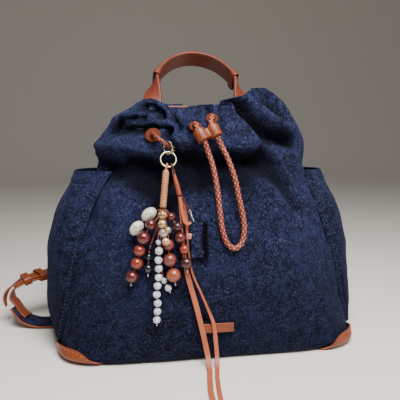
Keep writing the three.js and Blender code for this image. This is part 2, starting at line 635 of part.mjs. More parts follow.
function handleRows() {
  const flat = [1, 0, 0];
  const leaning = [0, Math.cos(lean), -Math.sin(lean)];
  const half = [-0.5, 0.5 * leaning[1], 0.5 * leaning[2]];
  const foot = (side) => [
    { at: [HANDLE_SHIFT + side * HANDLE_HALF_SPAN, handleY + SEAT_GAP, HANDLE_FOOT], across: [-1, 0, 0] },
    { at: [HANDLE_SHIFT + side * HANDLE_HALF_SPAN, handleY + SEAT_GAP, mix(HANDLE_FOOT, handleBase, 0.4)], across: [-1, 0, 0] },
    { at: [HANDLE_SHIFT + side * HANDLE_HALF_SPAN, handleY + 4 * SEAT_GAP, handleBase - 10], across: [-1, 0, 0] },
  ];
  const arch = [];
  for (let step = 1; step < 12; step += 1) {
    const angle = Math.PI * (1 - step / 12);
    const across = step === 1 || step === 11 ? half : leaning;
    arch.push({ at: handlePoint(HANDLE_HALF_SPAN * Math.cos(angle), HANDLE_RISE * Math.sin(angle) ** 0.9), across });
  }
  arch[arch.length - 1] = { at: arch[arch.length - 1].at, across: [0.5, half[1], half[2]] };
  const right = foot(1).reverse().map((row) => ({ at: row.at, across: flat }));
  return [...foot(-1), ...arch, ...right];
}

const handleFrames = bandFrames(handleRows(), 32);

// A keeper is a closed band round a strap, and a stud sits on the strap's face.
function keeper(frames, index, width, thickness, lift = 0) {
  const sleeve = (from, to, grow) => loft(frames.slice(from, to + 1).map((frame) => bandRing(
    frame, width + 2 * grow, thickness + 2 * grow, lift,
  )));
  return cut(sleeve(index, index + 1, KEEPER_GAP + KEEPER_LEATHER), sleeve(index - 1, index + 2, KEEPER_GAP));
}

function stud(frame, lift) {
  const foot = frame.point.clone().addScaledVector(frame.face, lift + CLOTH_GAP);
  const neck = foot.clone().addScaledVector(frame.face, STUD_HEIGHT * 0.5);
  const head = foot.clone().addScaledVector(frame.face, STUD_HEIGHT);
  return join(bar(foot, neck, STUD_RADIUS * 0.55, 8), bar(neck.clone().addScaledVector(frame.face, -0.2), head, STUD_RADIUS, 8));
}

// A belt runs inside its strap end, where it is sewn, then over the free way points to the pad.
function beltRoute(endFrames, freeRows, padEnd) {
  const inside = -((STRAP_THICKNESS + BELT_THICKNESS) / 2 + SEAT_GAP);
  const sewn = endFrames.slice(-4).filter((_, index) => index !== 2).map((frame) => ({
    at: frame.point.clone().addScaledVector(frame.face, inside).toArray(),
    across: frame.across.toArray(),
  }));
  const turned = Math.sign(padEnd.across.dot(vector(freeRows[freeRows.length - 1].across)));
  const joint = [PAD_LEAD, SEAT_GAP].map((away) => ({
    at: padEnd.point.clone().addScaledVector(padEnd.along, away).toArray(),
    across: padEnd.across.clone().multiplyScalar(turned).toArray(),
  }));
  return [...sewn, ...freeRows, ...joint];
}

function addStrap(side, rows) {
  const padY = yokeBack + SEAT_GAP + STRAP_THICKNESS / 2;
  const padRows = rows.pad.map(({ at, across }) => ({ at: [at[0], at[1] + padY, at[2]], across }));
  const padFrames = bandFrames(padRows, 20);
  const endFrames = bandFrames(rows.end, 10);
  const beltFrames = bandFrames(beltRoute(endFrames, rows.belt, padFrames[padFrames.length - 1]), 18);
  const tailLift = (BELT_THICKNESS + TAIL_THICKNESS) / 2 + SEAT_GAP;
  const tailFrames = TAIL_ROWS.map(({ frame, width, stand }) => bandRing(
    beltFrames[frame], TAIL_WIDTH * width, TAIL_THICKNESS, tailLift + stand * TAIL_THICKNESS,
  ));
  const stack = BELT_THICKNESS + TAIL_THICKNESS + 2 * SEAT_GAP;
  const bands = (frames, width, thickness) => loft(frames.map((frame) => bandRing(frame, width, thickness)));
  add(`strap_pad_${side}`, bands(padFrames, STRAP_WIDTH, STRAP_THICKNESS), DENIM, 0.9);
  add(`strap_end_${side}`, bands(endFrames, STRAP_WIDTH, STRAP_THICKNESS), LEATHER, 0.6);
  add(`strap_belt_${side}`, bands(beltFrames, BELT_WIDTH, BELT_THICKNESS), LEATHER, 0.55);
  add(`strap_tail_${side}`, loft(tailFrames), LEATHER, 0.55);
  for (const [place, index] of Object.entries(KEEPER_FRAMES)) {
    const band = keeper(beltFrames, index, BELT_WIDTH, stack, (stack - BELT_THICKNESS) / 2);
    add(`strap_keeper_${side}_${place}`, band, LEATHER, 0.6);
  }
  add(`strap_stud_${side}`, stud(beltFrames[STUD_FRAME], tailLift + TAIL_THICKNESS / 2), METAL, 0.35, 1);
}

function cordTube(points, radius, steps, sides) {
  const outline = new THREE.Shape();
  for (let side = 0; side < sides; side += 1) {
    const angle = (2 * Math.PI * side) / sides;
    outline[side ? 'lineTo' : 'moveTo'](radius * Math.cos(angle), radius * Math.sin(angle));
  }
  outline.closePath();
  const route = new THREE.CatmullRomCurve3(points.map(vector), false, 'centripetal');
  return new THREE.ExtrudeGeometry(outline, { steps, extrudePath: route, bevelEnabled: false });
}

// Toggle: two leather sleeves side by side, bored along the two legs of the drawcord.
function toggle() {
  const sleeves = [[0, 1], [DRAWCORD.length - 1, DRAWCORD.length - 2]].map(([top, foot]) => {
    const from = vector(DRAWCORD[top]);
    const to = vector(DRAWCORD[foot]);
    const along = to.clone().sub(from).normalize();
    const radius = CORD_RADIUS + TOGGLE_CLEARANCE;
    return {
      middle: from.clone().lerp(to, 0.5),
      outer: bar(from, to, radius + TOGGLE_WALL, 12),
      bore: bar(from.clone().addScaledVector(along, -3), to.clone().addScaledVector(along, 3), radius, 10),
    };
  });
  const seam = bar(sleeves[0].middle, sleeves[1].middle, TOGGLE_SEAM_RADIUS, 8);
  return cut(join(seam, ...sleeves.map((sleeve) => sleeve.outer)), ...sleeves.map((sleeve) => sleeve.bore));
}

// A seat on the front cloth: its outward direction, and the point where a disc of this radius clears it.
function frontSeat({ x, level }, radius) {
  const up = level / BAG_HEIGHT;
  const turn = frontTurn(x, up);
  const turnReach = radius / FOLD_GIRTH;
  const upReach = radius / BAG_HEIGHT;
  const at = (u, v) => bodyPoint(turn + u * turnReach, up + v * upReach);
  const normal = at(1, 0).sub(at(-1, 0)).cross(at(0, 1).sub(at(0, -1))).normalize();
  const centre = at(0, 0);
  let rise = 0;
  for (const [u, v] of [[1, 0], [-1, 0], [0, 1], [0, -1], [0.7, 0.7], [-0.7, 0.7], [0.7, -0.7], [-0.7, -0.7]]) {
    rise = Math.max(rise, at(u, v).sub(centre).dot(normal));
  }
  return { normal, point: centre.addScaledVector(normal, rise + CLOTH_GAP) };
}

const seats = Object.fromEntries(Object.entries(EYELETS).map(([name, place]) => [name, frontSeat(place, EYELET_RADIUS)]));

// A cord leaves its seat square to the cloth, through a leather eyelet ring.
function exit({ point, normal }) {
  return [0, CORD_EXIT].map((away) => point.clone().addScaledVector(normal, away).toArray());
}

function eyelet({ point, normal }, cordRadius) {
  const inner = cordRadius + TOGGLE_CLEARANCE;
  const section = [[inner, 0], [EYELET_RADIUS, 0], [EYELET_RADIUS, EYELET_LEATHER], [inner, EYELET_LEATHER], [inner, 0]];
  const ring = new THREE.LatheGeometry(section.map(([x, y]) => new THREE.Vector2(x, y)), 12);
  ring.applyQuaternion(new THREE.Quaternion().setFromUnitVectors(new THREE.Vector3(0, 1, 0), normal));
  return ring.translate(point.x, point.y, point.z);
}

// Clasp: an open oval whose right arm is a sprung gate on a cross pin.
const clasp = (() => {
  const turn = THREE.MathUtils.degToRad(CLASP_TURN);
  const right = new THREE.Vector3(Math.cos(turn), -Math.sin(turn), 0);
  const drop = CLASP_HALF_HEIGHT - CLASP_WIRE - SIDE_CORD_RADIUS - 1.5 * SEAT_GAP;
  const centre = vector(SIDE_CORD[2]).addScaledVector(right, CORD_ASIDE).add(new THREE.Vector3(0, 0, -drop));
  const normal = new THREE.Vector3(Math.sin(turn), Math.cos(turn), 0);
  const up = new THREE.Vector3(0, 0, 1);
  const at = (x, z) => centre.clone().addScaledVector(right, x).addScaledVector(up, z);
  const onOval = (degrees) => {
    const angle = THREE.MathUtils.degToRad(degrees);
    return at(CLASP_HALF_WIDTH * Math.cos(angle), CLASP_HALF_HEIGHT * Math.sin(angle));
  };
  return { centre, right, normal, up, at, onOval };
})();
const gateHinge = clasp.at(CLASP_HALF_WIDTH + 0.5, -2.6);

function claspBody() {
  const points = [];
  for (let degrees = 52; degrees <= 322; degrees += 22.5) {
    points.push(clasp.onOval(degrees).toArray());
  }
  const hook = cordTube(points, CLASP_WIRE, 12, 5);
  const ears = [-1, 1].map((side) => {
    const from = gateHinge.clone().addScaledVector(clasp.normal, side * (0.6 + GATE_CLEARANCE));
    return bar(from, from.clone().addScaledVector(clasp.normal, side * 0.7), 1.3, 8);
  });
  const pin = bar(
    gateHinge.clone().addScaledVector(clasp.normal, -1.4),
    gateHinge.clone().addScaledVector(clasp.normal, 1.4), 0.4, 8,
  );
  const foot = vector(points[points.length - 1]);
  const webs = [-1, 1].map((side) => bar(
    foot.clone().addScaledVector(clasp.normal, side * 1.05).addScaledVector(clasp.up, -0.3),
    gateHinge.clone().addScaledVector(clasp.normal, side * 1.25).addScaledVector(clasp.up, -0.2), 0.55, 6,
  ));
  const bridge = bar(
    foot.clone().addScaledVector(clasp.normal, -1.3).addScaledVector(clasp.up, -0.3),
    foot.clone().addScaledVector(clasp.normal, 1.3).addScaledVector(clasp.up, -0.3), 0.6, 8,
  );
  return join(hook, ...ears, pin, ...webs, bridge);
}

function claspGate() {
  const knuckle = bar(
    gateHinge.clone().addScaledVector(clasp.normal, -0.6),
    gateHinge.clone().addScaledVector(clasp.normal, 0.6), 1.2, 12,
  );
  const hole = bar(
    gateHinge.clone().addScaledVector(clasp.normal, -2),
    gateHinge.clone().addScaledVector(clasp.normal, 2), 0.4 + GATE_CLEARANCE, 12,
  );
  const top = clasp.onOval(40).addScaledVector(clasp.right, 0.2);
  const arm = bar(gateHinge.clone().addScaledVector(clasp.up, 0.9), top, 0.6, 8);
  const knobFoot = clasp.at(CLASP_HALF_WIDTH + 0.6, 0.6);
  const knob = bar(knobFoot, knobFoot.clone().addScaledVector(clasp.right, 2.4), 0.8, 8);
  return cut(join(knuckle, arm, knob), hole);
}

// Ring, and the two leather pieces looped on it.
const ringAxis = new THREE.Vector3(0, -0.94, 0.34).normalize();
const ringTop = clasp.onOval(270).addScaledVector(clasp.up, CLASP_WIRE + RING_WIRE + SEAT_GAP);
const ringDown = new THREE.Vector3(0, -0.34, -0.94).normalize();
const ringCentre = ringTop.clone().addScaledVector(ringDown, RING_RADIUS);

function onRing(degrees) {
  const angle = THREE.MathUtils.degToRad(degrees);
  return ringCentre.clone()
    .addScaledVector(ringDown, RING_RADIUS * Math.cos(angle))
    .add(new THREE.Vector3(RING_RADIUS * Math.sin(angle), 0, 0));
}

const ringTangent = (degrees) => onRing(degrees + 5).sub(onRing(degrees - 5)).normalize();

function loopedBar(hold, axis, foot, radius) {
  const loop = hoop(hold, axis, LOOP_RADIUS, LOOP_WIRE, 10, 5);
  const towards = foot.clone().sub(hold).normalize();
  const top = hold.clone().addScaledVector(towards, LOOP_RADIUS - 0.3);
  const shoulder = hold.clone().addScaledVector(towards, LOOP_RADIUS + 2.2);
  const neck = bar(top, shoulder, LOOP_WIRE * 1.3, 8);
  return join(loop, neck, bar(shoulder.clone().addScaledVector(towards, -0.4), foot, radius, 10));
}

const STEM_TURN = -16;
const SLEEVE_TURN = 26;
const stemHold = onRing(STEM_TURN);
const stemFoot = new THREE.Vector3(-53.6, -102, 158.9);
const sleeveHold = onRing(SLEEVE_TURN);
const sleeveFoot = new THREE.Vector3(-36.6, -100.4, 170.9);

// A string of beads is one skin whose radius swells at each bead.
function beadString(rows) {
  const sides = 10;
  const centres = rows.map((row) => vector(row.at));
  const stations = [];
  rows.forEach((row, index) => {
    if (!row.radius) {
      stations.push({ point: centres[index], radius: THREAD_RADIUS });
      return;
    }
    const before = centres[Math.max(0, index - 1)];
    const after = centres[Math.min(rows.length - 1, index + 1)];
    const along = after.clone().sub(before).normalize();
    const long = row.long ?? row.radius;
    for (const degrees of row.radius > SMALL_BEAD ? [-66, -26, 26, 66] : [-60, 0, 60]) {
      const angle = THREE.MathUtils.degToRad(degrees);
      const point = centres[index].clone().addScaledVector(along, long * Math.sin(angle));
      stations.push({ point, radius: row.radius * Math.cos(angle), along });
    }
    if (index === rows.length - 1 || !rows[index + 1].radius) {
      stations.push({ point: centres[index].clone().addScaledVector(along, long), radius: THREAD_RADIUS, along });
    }
  });
  const rings = stations.map((station, index) => {
    const before = stations[Math.max(0, index - 1)].point;
    const after = stations[Math.min(stations.length - 1, index + 1)].point;
    const along = station.along ?? after.clone().sub(before).normalize();
    const side = new THREE.Vector3(0, 1, 0).cross(along).normalize();
    const other = along.clone().cross(side);
    return Array.from({ length: sides }, (_, step) => {
      const angle = (2 * Math.PI * step) / sides;
      return station.point.clone()
        .addScaledVector(side, station.radius * Math.cos(angle))
        .addScaledVector(other, station.radius * Math.sin(angle));
    });
  });
  return loft(rings);
}

// Small clasp, cloth square and tag at the end of the thin laces.
const squareCorner = { left: -26.4, right: -8.4, top: 143.4, foot: 109.4 };

function smallClasp() {
  const top = new THREE.Vector3(-26.4, -105, 153.6);
  const foot = new THREE.Vector3(-24, -106.6, 147);
  const body = bar(top, foot, 1.1, 8);
  const eye = hoop(new THREE.Vector3(-23.4, -106.9, 146.1), new THREE.Vector3(1, -0.2, 0.2), 1.7, 0.5, 8, 5);
  return join(body, eye);
}

function clothSquare() {
  const { left, right, top, foot } = squareCorner;
  const rows = 5;
  const faceY = (z) => mix(-104, -111.4, (top - z) / (top - foot));
  const panel = sheet(rows, 2, (row, column, face) => {
    const z = mix(foot, top, row / (rows - 1));
    return new THREE.Vector3(mix(left, right - FRINGE_WIDTH, column), faceY(z) - face * SQUARE_THICKNESS, z);
  });
  const strips = 6;
  const locks = [];
  for (let strip = 0; strip < strips; strip += 1) {
    const high = mix(top - 0.5, foot + 0.5, strip / strips);
    const low = mix(top - 0.5, foot + 0.5, (strip + 0.86) / strips);
    const reach = right - (strip % 2 ? 1.2 : 0);
    locks.push(sheet(2, 2, (row, column, face) => {
      const z = row ? high : low;
      return new THREE.Vector3(mix(right - FRINGE_WIDTH - 1, reach, column), faceY(z) - 0.2 - face * 1.8, z);
    }));
  }
  return join(panel, ...locks);
}

function leatherTag() {
  const tag = new THREE.BoxGeometry(TAG_SIZE, 1.4, TAG_SIZE + 1);
  return tag.rotateX(0.2).rotateY(0.15).translate(-28.6, -112.4, 131.2);
}

const group = new THREE.Group();

function add(name, geometry, color, roughness, metalness = 0) {
  const material = new THREE.MeshStandardMaterial({ color, roughness, metalness });
  const mesh = new THREE.Mesh(simpler(geometry, FLATNESS), material);
  mesh.name = name;
  group.add(mesh);
}

const DENIM = 0x1f2a52;
const LEATHER = 0xb5653a;
const METAL = 0xd6c39a;

add('bag_body', bodyShell(), DENIM, 0.95);
add('side_pocket_left', sidePocket(-1), DENIM, 0.95);
add('side_pocket_right', sidePocket(1), DENIM, 0.95);
for (const corner of PATCH_CORNERS) {
  add(corner.name, cornerPatch(corner), LEATHER, 0.6);
}
add('label_bar', labelBar(), LEATHER, 0.6);
add('yoke', yoke(), LEATHER, 0.6);
add('handle', loft(handleFrames.map((frame) => bandRing(frame, HANDLE_WIDTH, HANDLE_THICKNESS))), LEATHER, 0.55);
add('handle_keeper_left', keeper(handleFrames, 8, HANDLE_WIDTH, HANDLE_THICKNESS), LEATHER, 0.6);
add('handle_keeper_right', keeper(handleFrames, 23, HANDLE_WIDTH, HANDLE_THICKNESS), LEATHER, 0.6);
add('handle_stud_left', stud(handleFrames[10], HANDLE_THICKNESS / 2), LEATHER, 0.6);
add('handle_stud_right', stud(handleFrames[22], HANDLE_THICKNESS / 2), LEATHER, 0.6);

const drawcordRoute = [...exit(seats.centre_left), ...DRAWCORD, ...exit(seats.centre_right).reverse()];
const sideCordRoute = [...exit(seats.side), ...SIDE_CORD];
add('drawcord', cordTube(drawcordRoute, CORD_RADIUS, 28, 8), LEATHER, 0.6);
add('toggle', toggle(), LEATHER, 0.6);
add('eyelet_centre_left', eyelet(seats.centre_left, CORD_RADIUS), LEATHER, 0.6);
add('eyelet_centre_right', eyelet(seats.centre_right, CORD_RADIUS), LEATHER, 0.6);
add('side_cord', cordTube(sideCordRoute, SIDE_CORD_RADIUS, 10, 8), LEATHER, 0.6);
add('eyelet_side', eyelet(seats.side, SIDE_CORD_RADIUS), LEATHER, 0.6);

const STRAPS = {
  left: { pad: LEFT_PAD, end: LEFT_END, belt: LEFT_BELT },
  right: { pad: RIGHT_PAD, end: RIGHT_END, belt: RIGHT_BELT },
};
for (const [side, rows] of Object.entries(STRAPS)) {
  addStrap(side, rows);
}

add('clasp', claspBody(), METAL, 0.3, 1);
add('clasp_gate', claspGate(), METAL, 0.3, 1);
add('ring', hoop(ringCentre, ringAxis, RING_RADIUS, RING_WIRE, 18, 5), METAL, 0.3, 1);
add('charm_stem', loopedBar(stemHold, ringTangent(STEM_TURN), stemFoot, STEM_RADIUS), LEATHER, 0.6);
add('charm_sleeve', loopedBar(sleeveHold, ringTangent(SLEEVE_TURN), sleeveFoot, SLEEVE_RADIUS), LEATHER, 0.6);
const STRING_COLORS = {
  ovals: 0xe6e0cc, patterned: 0xc9a26a, brown: 0x8a4f33, red_left: 0x7c2f26,
  red_right: 0x6a2422, black: 0x14161a, white_long: 0xd8d8df, white_short: 0xd8d8df,
};
for (const [name, rows] of Object.entries(STRINGS)) {
  add(`beads_${name}`, beadString(rows), STRING_COLORS[name], 0.35);
}
add('lace_wide', band(WIDE_LACE, 22, LACE_WIDTH, LACE_THICKNESS), LEATHER, 0.65);
add('lace_narrow', band(NARROW_LACE, 22, NARROW_LACE_WIDTH, LACE_THICKNESS), LEATHER, 0.65);
add('lace_thin', band(THIN_LACE, 4, THIN_LACE_WIDTH, LACE_THICKNESS * 0.8), LEATHER, 0.65);
add('small_clasp', smallClasp(), METAL, 0.3, 1);
add('cloth_square', clothSquare(), DENIM, 0.95);
add('leather_tag', leatherTag(), LEATHER, 0.6);

export default group;
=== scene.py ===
"""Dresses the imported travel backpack: gathered cloth, leather trim, braided cord, straps and beaded charm."""
import math
import random
from collections import namedtuple

import bmesh
import bpy
import numpy as np
from bpy.props import FloatProperty, FloatVectorProperty, IntProperty, PointerProperty
from mathutils import Matrix, Vector, noise


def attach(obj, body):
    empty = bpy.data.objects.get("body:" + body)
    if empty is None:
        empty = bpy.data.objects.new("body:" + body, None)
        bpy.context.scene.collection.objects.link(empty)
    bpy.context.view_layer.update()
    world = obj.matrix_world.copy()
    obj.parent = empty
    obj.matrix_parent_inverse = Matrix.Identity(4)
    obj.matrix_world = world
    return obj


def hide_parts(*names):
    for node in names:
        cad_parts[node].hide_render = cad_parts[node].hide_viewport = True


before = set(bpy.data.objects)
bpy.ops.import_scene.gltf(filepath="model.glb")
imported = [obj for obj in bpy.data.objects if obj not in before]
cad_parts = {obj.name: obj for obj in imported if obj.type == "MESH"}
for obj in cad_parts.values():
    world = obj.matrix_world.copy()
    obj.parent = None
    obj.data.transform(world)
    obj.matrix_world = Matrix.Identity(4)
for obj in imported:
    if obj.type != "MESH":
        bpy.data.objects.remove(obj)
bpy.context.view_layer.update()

bl_info = {
    "name": "Travel backpack",
    "version": (1, 0, 0),
    "blender": (4, 5, 0),
    "location": "3D View > Sidebar > Backpack",
    "description": "Cloth, leather, cords, straps and beaded charm of a drawstring backpack",
    "category": "Object",
}

# Lengths below are in millimetres, as in the CAD. A finished piece is scaled to metres.
MM = 0.001

Section = namedtuple("Section", "up side front back round")
Rim = namedtuple("Rim", "turn rise")
Fold = namedtuple("Fold", "turn up to_turn to_up width depth")
PocketRow = namedtuple("PocketRow", "up bulge")
Crease = namedtuple("Crease", "points width depth")
Patch = namedtuple("Patch", "name turn front side")
Bead = namedtuple("Bead", "at radius finish long", defaults=(None, None, None))
Frames = namedtuple("Frames", "point along across face")

# The bag: its sections are shares of the height, half width and depths, as in the CAD.
BAG_HEIGHT, BAG_HALF_WIDTH, BAG_FRONT, BAG_BACK = 262, 160, 116, 85
BODY_WALL, EAR_RISE, FOLD_DEPTH, FOLD_WIDTH, FOLD_GIRTH = 3, 24, 8, 9, 690
SECTIONS = [
    Section(0, 0.96, 0.905, 0.9, 6.5), Section(0.015, 1.01, 0.955, 0.95, 6),
    Section(0.05, 1.05, 0.99, 0.985, 4.4), Section(0.13, 1.065, 1, 1, 3.2),
    Section(0.26, 1.045, 0.98, 1, 2.7), Section(0.42, 1, 0.935, 0.98, 2.5),
    Section(0.57, 0.915, 0.86, 0.93, 2.5), Section(0.7, 0.8, 0.79, 0.85, 2.5),
    Section(0.76, 0.77, 0.75, 0.8, 2.5), Section(0.82, 0.76, 0.71, 0.75, 2.5),
    Section(0.88, 0.745, 0.66, 0.69, 2.5), Section(0.92, 0.7, 0.61, 0.63, 2.4),
    Section(0.96, 0.62, 0.56, 0.58, 2.3), Section(1, 0.5, 0.53, 0.55, 2.2),
]
RIM = [
    Rim(-0.5, 0.25), Rim(-0.4, 0.25), Rim(-0.3, 0.2), Rim(-0.25, 0.17), Rim(-0.2, 0.33),
    Rim(-0.165, 0.38), Rim(-0.135, 0.2), Rim(-0.1, -0.12), Rim(-0.05, 0), Rim(0, 0.08),
    Rim(0.07, 0.12), Rim(0.09, 0.35), Rim(0.12, 0.67), Rim(0.15, 0.83), Rim(0.19, 1),
    Rim(0.22, 0.9), Rim(0.25, 0.6), Rim(0.3, 0.33), Rim(0.4, 0.25), Rim(0.5, 0.25),
]
# Main folds of the CAD. Width and depth are shares of FOLD_WIDTH and FOLD_DEPTH.
FOLDS = [
    Fold(-0.235, 1, -0.24, 0.87, 0.8, 0.5), Fold(-0.205, 1, -0.215, 0.85, 0.8, 0.8),
    Fold(-0.175, 1, -0.185, 0.84, 0.8, 0.9), Fold(-0.148, 1, -0.155, 0.84, 0.7, 0.9),
    Fold(-0.122, 1, -0.128, 0.85, 0.7, 0.8), Fold(-0.098, 1, -0.098, 0.8, 0.8, 1),
    Fold(-0.068, 1, -0.072, 0.88, 0.7, 0.5), Fold(-0.035, 1, -0.036, 0.94, 0.7, 0.5),
    Fold(0.002, 1, 0, 0.95, 0.8, 0.7), Fold(0.086, 1, 0.118, 0.82, 1.1, 1.3),
    Fold(0.118, 0.82, 0.15, 0.68, 1.5, 1.2), Fold(0.165, 1, 0.19, 0.82, 0.9, 1),
    Fold(0.205, 1, 0.215, 0.86, 0.8, 0.8), Fold(0.24, 1, 0.242, 0.88, 0.8, 0.7),
    Fold(0.272, 1, 0.272, 0.86, 0.8, 0.7), Fold(0.302, 1, 0.304, 0.84, 0.8, 0.8),
    Fold(0.334, 1, 0.332, 0.85, 0.8, 0.7), Fold(-0.334, 1, -0.33, 0.84, 0.8, 0.7),
    Fold(-0.302, 1, -0.304, 0.86, 0.8, 0.8), Fold(-0.268, 1, -0.27, 0.85, 0.8, 0.7),
    Fold(-0.225, 0.845, -0.165, 0.845, 1.3, -0.5), Fold(-0.165, 0.845, -0.1, 0.775, 1.2, -0.5),
    Fold(-0.18, 0.77, -0.105, 0.69, 1.8, 1.1), Fold(-0.105, 0.69, -0.085, 0.6, 1.8, 0.9),
    Fold(0.02, 0.84, 0.08, 0.68, 2.4, 0.6),
]
# Finer creases that only the cloth piece has, through (turn, up) points. A negative depth is a roll.
CREASES = [
    Crease([
        (-0.186, 0.986), (-0.152, 0.99), (-0.128, 0.994),
        (-0.107, 0.987), (-0.098, 0.95),
    ], 0.5, -0.6),
    Crease([
        (-0.239, 0.947), (-0.186, 0.946), (-0.159, 0.95),
        (-0.13, 0.946), (-0.113, 0.931), (-0.1, 0.94),
    ], 0.42, -0.5),
    Crease([(-0.17, 0.97), (-0.14, 0.972), (-0.116, 0.96)], 0.4, 1.8),
    Crease([(-0.205, 0.925), (-0.17, 0.934), (-0.145, 0.935)], 0.36, 1.3),
    Crease([
        (-0.165, 0.925), (-0.148, 0.918), (-0.132, 0.926),
        (-0.113, 0.918), (-0.079, 0.928),
    ], 0.4, -0.45),
    Crease([(-0.21, 0.9), (-0.175, 0.897), (-0.145, 0.9), (-0.115, 0.904), (-0.09, 0.9)], 0.55, 1.8),
    Crease([
        (-0.235, 0.845), (-0.19, 0.836), (-0.164, 0.831),
        (-0.136, 0.821), (-0.118, 0.812), (-0.101, 0.789),
    ], 0.6, -0.5),
    Crease([
        (-0.15, 0.79), (-0.136, 0.785), (-0.117, 0.774),
        (-0.099, 0.747), (-0.097, 0.685),
    ], 0.9, 1.3),
    Crease([(-0.094, 0.975), (-0.078, 0.93), (-0.072, 0.905)], 0.34, 0.9),
    Crease([(-0.09, 0.985), (-0.068, 0.95), (-0.047, 0.916)], 0.5, -0.45),
    Crease([(-0.1, 0.9), (-0.088, 0.86), (-0.078, 0.81)], 0.4, 0.8),
    Crease([(-0.085, 0.9), (-0.07, 0.86), (-0.061, 0.815)], 0.36, -0.5),
    Crease([(-0.052, 0.9), (-0.045, 0.86), (-0.04, 0.82)], 0.6, 0.6),
    Crease([(-0.011, 0.995), (0.0, 0.965), (0.004, 0.95)], 0.4, 0.7),
    Crease([(0.03, 1.0), (0.034, 0.95), (0.03, 0.9)], 0.4, 0.5),
    Crease([
        (0.071, 0.99), (0.088, 0.95), (0.096, 0.907), (0.104, 0.865),
        (0.121, 0.82), (0.134, 0.78), (0.149, 0.7), (0.15, 0.62),
    ], 0.6, -0.75),
    Crease([
        (0.09, 0.985), (0.106, 0.94), (0.116, 0.905),
        (0.132, 0.88), (0.162, 0.868), (0.19, 0.86),
    ], 0.85, 2.9),
    Crease([(0.105, 0.994), (0.122, 0.95), (0.146, 0.925), (0.186, 0.89)], 0.55, -0.8),
    Crease([(0.135, 0.99), (0.16, 0.95), (0.19, 0.92)], 0.45, 0.8),
    Crease([(0.175, 1.0), (0.18, 0.97), (0.176, 0.94)], 0.4, 0.9),
    Crease([(-0.05, 0.85), (0.0, 0.838), (0.05, 0.835), (0.095, 0.835)], 1.0, -0.45),
    Crease([(-0.07, 0.79), (-0.02, 0.776), (0.03, 0.77), (0.075, 0.768), (0.105, 0.775)], 1.15, 1.9),
    Crease([(-0.05, 0.79), (-0.038, 0.73), (-0.024, 0.65)], 1.3, 0.5),
    Crease([
        (-0.13, 0.765), (-0.1, 0.74), (-0.05, 0.735),
        (0.0, 0.738), (0.05, 0.75), (0.09, 0.762),
    ], 1.7, 1.25),
    Crease([
        (-0.29, 0.815), (-0.235, 0.812), (-0.18, 0.802),
        (-0.14, 0.793), (-0.112, 0.78),
    ], 0.7, -0.55),
    Crease([(-0.125, 0.7), (-0.09, 0.688), (-0.04, 0.69), (0.01, 0.7)], 1.9, 0.7),
    Crease([(0.16, 0.84), (0.2, 0.8), (0.23, 0.75)], 1.2, 0.5),
    Crease([(0.205, 0.95), (0.228, 0.88), (0.235, 0.8), (0.235, 0.76)], 2.4, -0.85),
    Crease([(0.126, 0.824), (0.195, 0.8)], 1.0, -0.5),
    Crease([(-0.23, 0.8), (-0.2, 0.77), (-0.17, 0.72)], 1.2, 0.6),
    Crease([(-0.075, 0.7), (-0.082, 0.6), (-0.1, 0.5)], 1.6, 0.6),
    Crease([(0.04, 0.74), (0.055, 0.64), (0.08, 0.52)], 1.8, 0.6),
    Crease([(0.1, 0.77), (0.125, 0.68), (0.14, 0.58)], 1.0, 0.9),
    Crease([(-0.2, 0.72), (-0.19, 0.6), (-0.17, 0.5)], 1.4, 0.5),
    Crease([(0.08, 0.74), (0.1, 0.66), (0.11, 0.6)], 0.9, -0.4),
    Crease([(-0.42, 0.97), (-0.4, 0.86), (-0.41, 0.74)], 0.9, 0.7),
    Crease([(0.42, 0.97), (0.41, 0.86), (0.43, 0.72)], 0.9, 0.7),
    Crease([(-0.48, 0.98), (-0.49, 0.88), (-0.47, 0.8)], 0.7, 0.6),
    Crease([(0.36, 0.98), (0.37, 0.86), (0.36, 0.76)], 0.8, 0.7),
    Crease([(-0.36, 0.98), (-0.37, 0.87), (-0.35, 0.76)], 0.8, 0.7),
]
# Places on the cloth that stay calm, because an eyelet is set there.
EYELET_PLACES, EYELET_CALM = [(-0.112, 0.875), (-0.035, 0.914), (0.0058, 0.943)], 9
# Painted shade on the cloth: darker in folds from one depth to another, and towards the base.
SHADE_FROM, SHADE_RANGE, SHADE_MOST = 1.5, 11, 0.88
# Fine measures of the small parts, in millimetres.
EYELET_RADII = {"eyelet_centre_left": 6.4, "eyelet_centre_right": 6.4, "eyelet_side": 8.2}
TOGGLE_WEB_LONG, TOGGLE_WEB_DEEP, TOGGLE_WEB_ROUNDING = 10.4, 6.6, 1.4
TOGGLE_STITCHES, TOGGLE_STITCH_LIFT = (-3.6, -1.2, 1.2, 3.6), 3.4
HANDLE_SEAM, PAD_SEAM, END_SEAM = 2.6, 3.0, 2.6
YOKE_CORNER, YOKE_STITCH_STEP = 8, 4.2
SMALL_CLASP_TOP, SMALL_CLASP_FOOT = (-26.4, -105, 153.6), (-24, -106.6, 147)
SMALL_CLASP_KNOB, SMALL_CLASP_KNOB_RADIUS = (-25.4, -105.7, 150.8), 1.25
FRINGE_THREADS, FRINGE_RADIUS = 110, 0.3
TAG_THICKNESS, TAG_ROUNDING = 1.4, 0.6
POCKET_HEIGHT, POCKET_FOOT, POCKET_BULGE, POCKET_WALL = 193, 17, 21, 2
POCKET_FRONT_TURN, POCKET_BACK_TURN = 0.1806, 0.3056
POCKET_ROWS = [
    PocketRow(0, 0), PocketRow(0.097, 0.36), PocketRow(0.29, 0.6), PocketRow(0.529, 0.87),
    PocketRow(0.752, 1), PocketRow(0.945, 1), PocketRow(1, 0.95),
]
PATCH_HEIGHT, PATCH_LEATHER = 15.5, 1.5
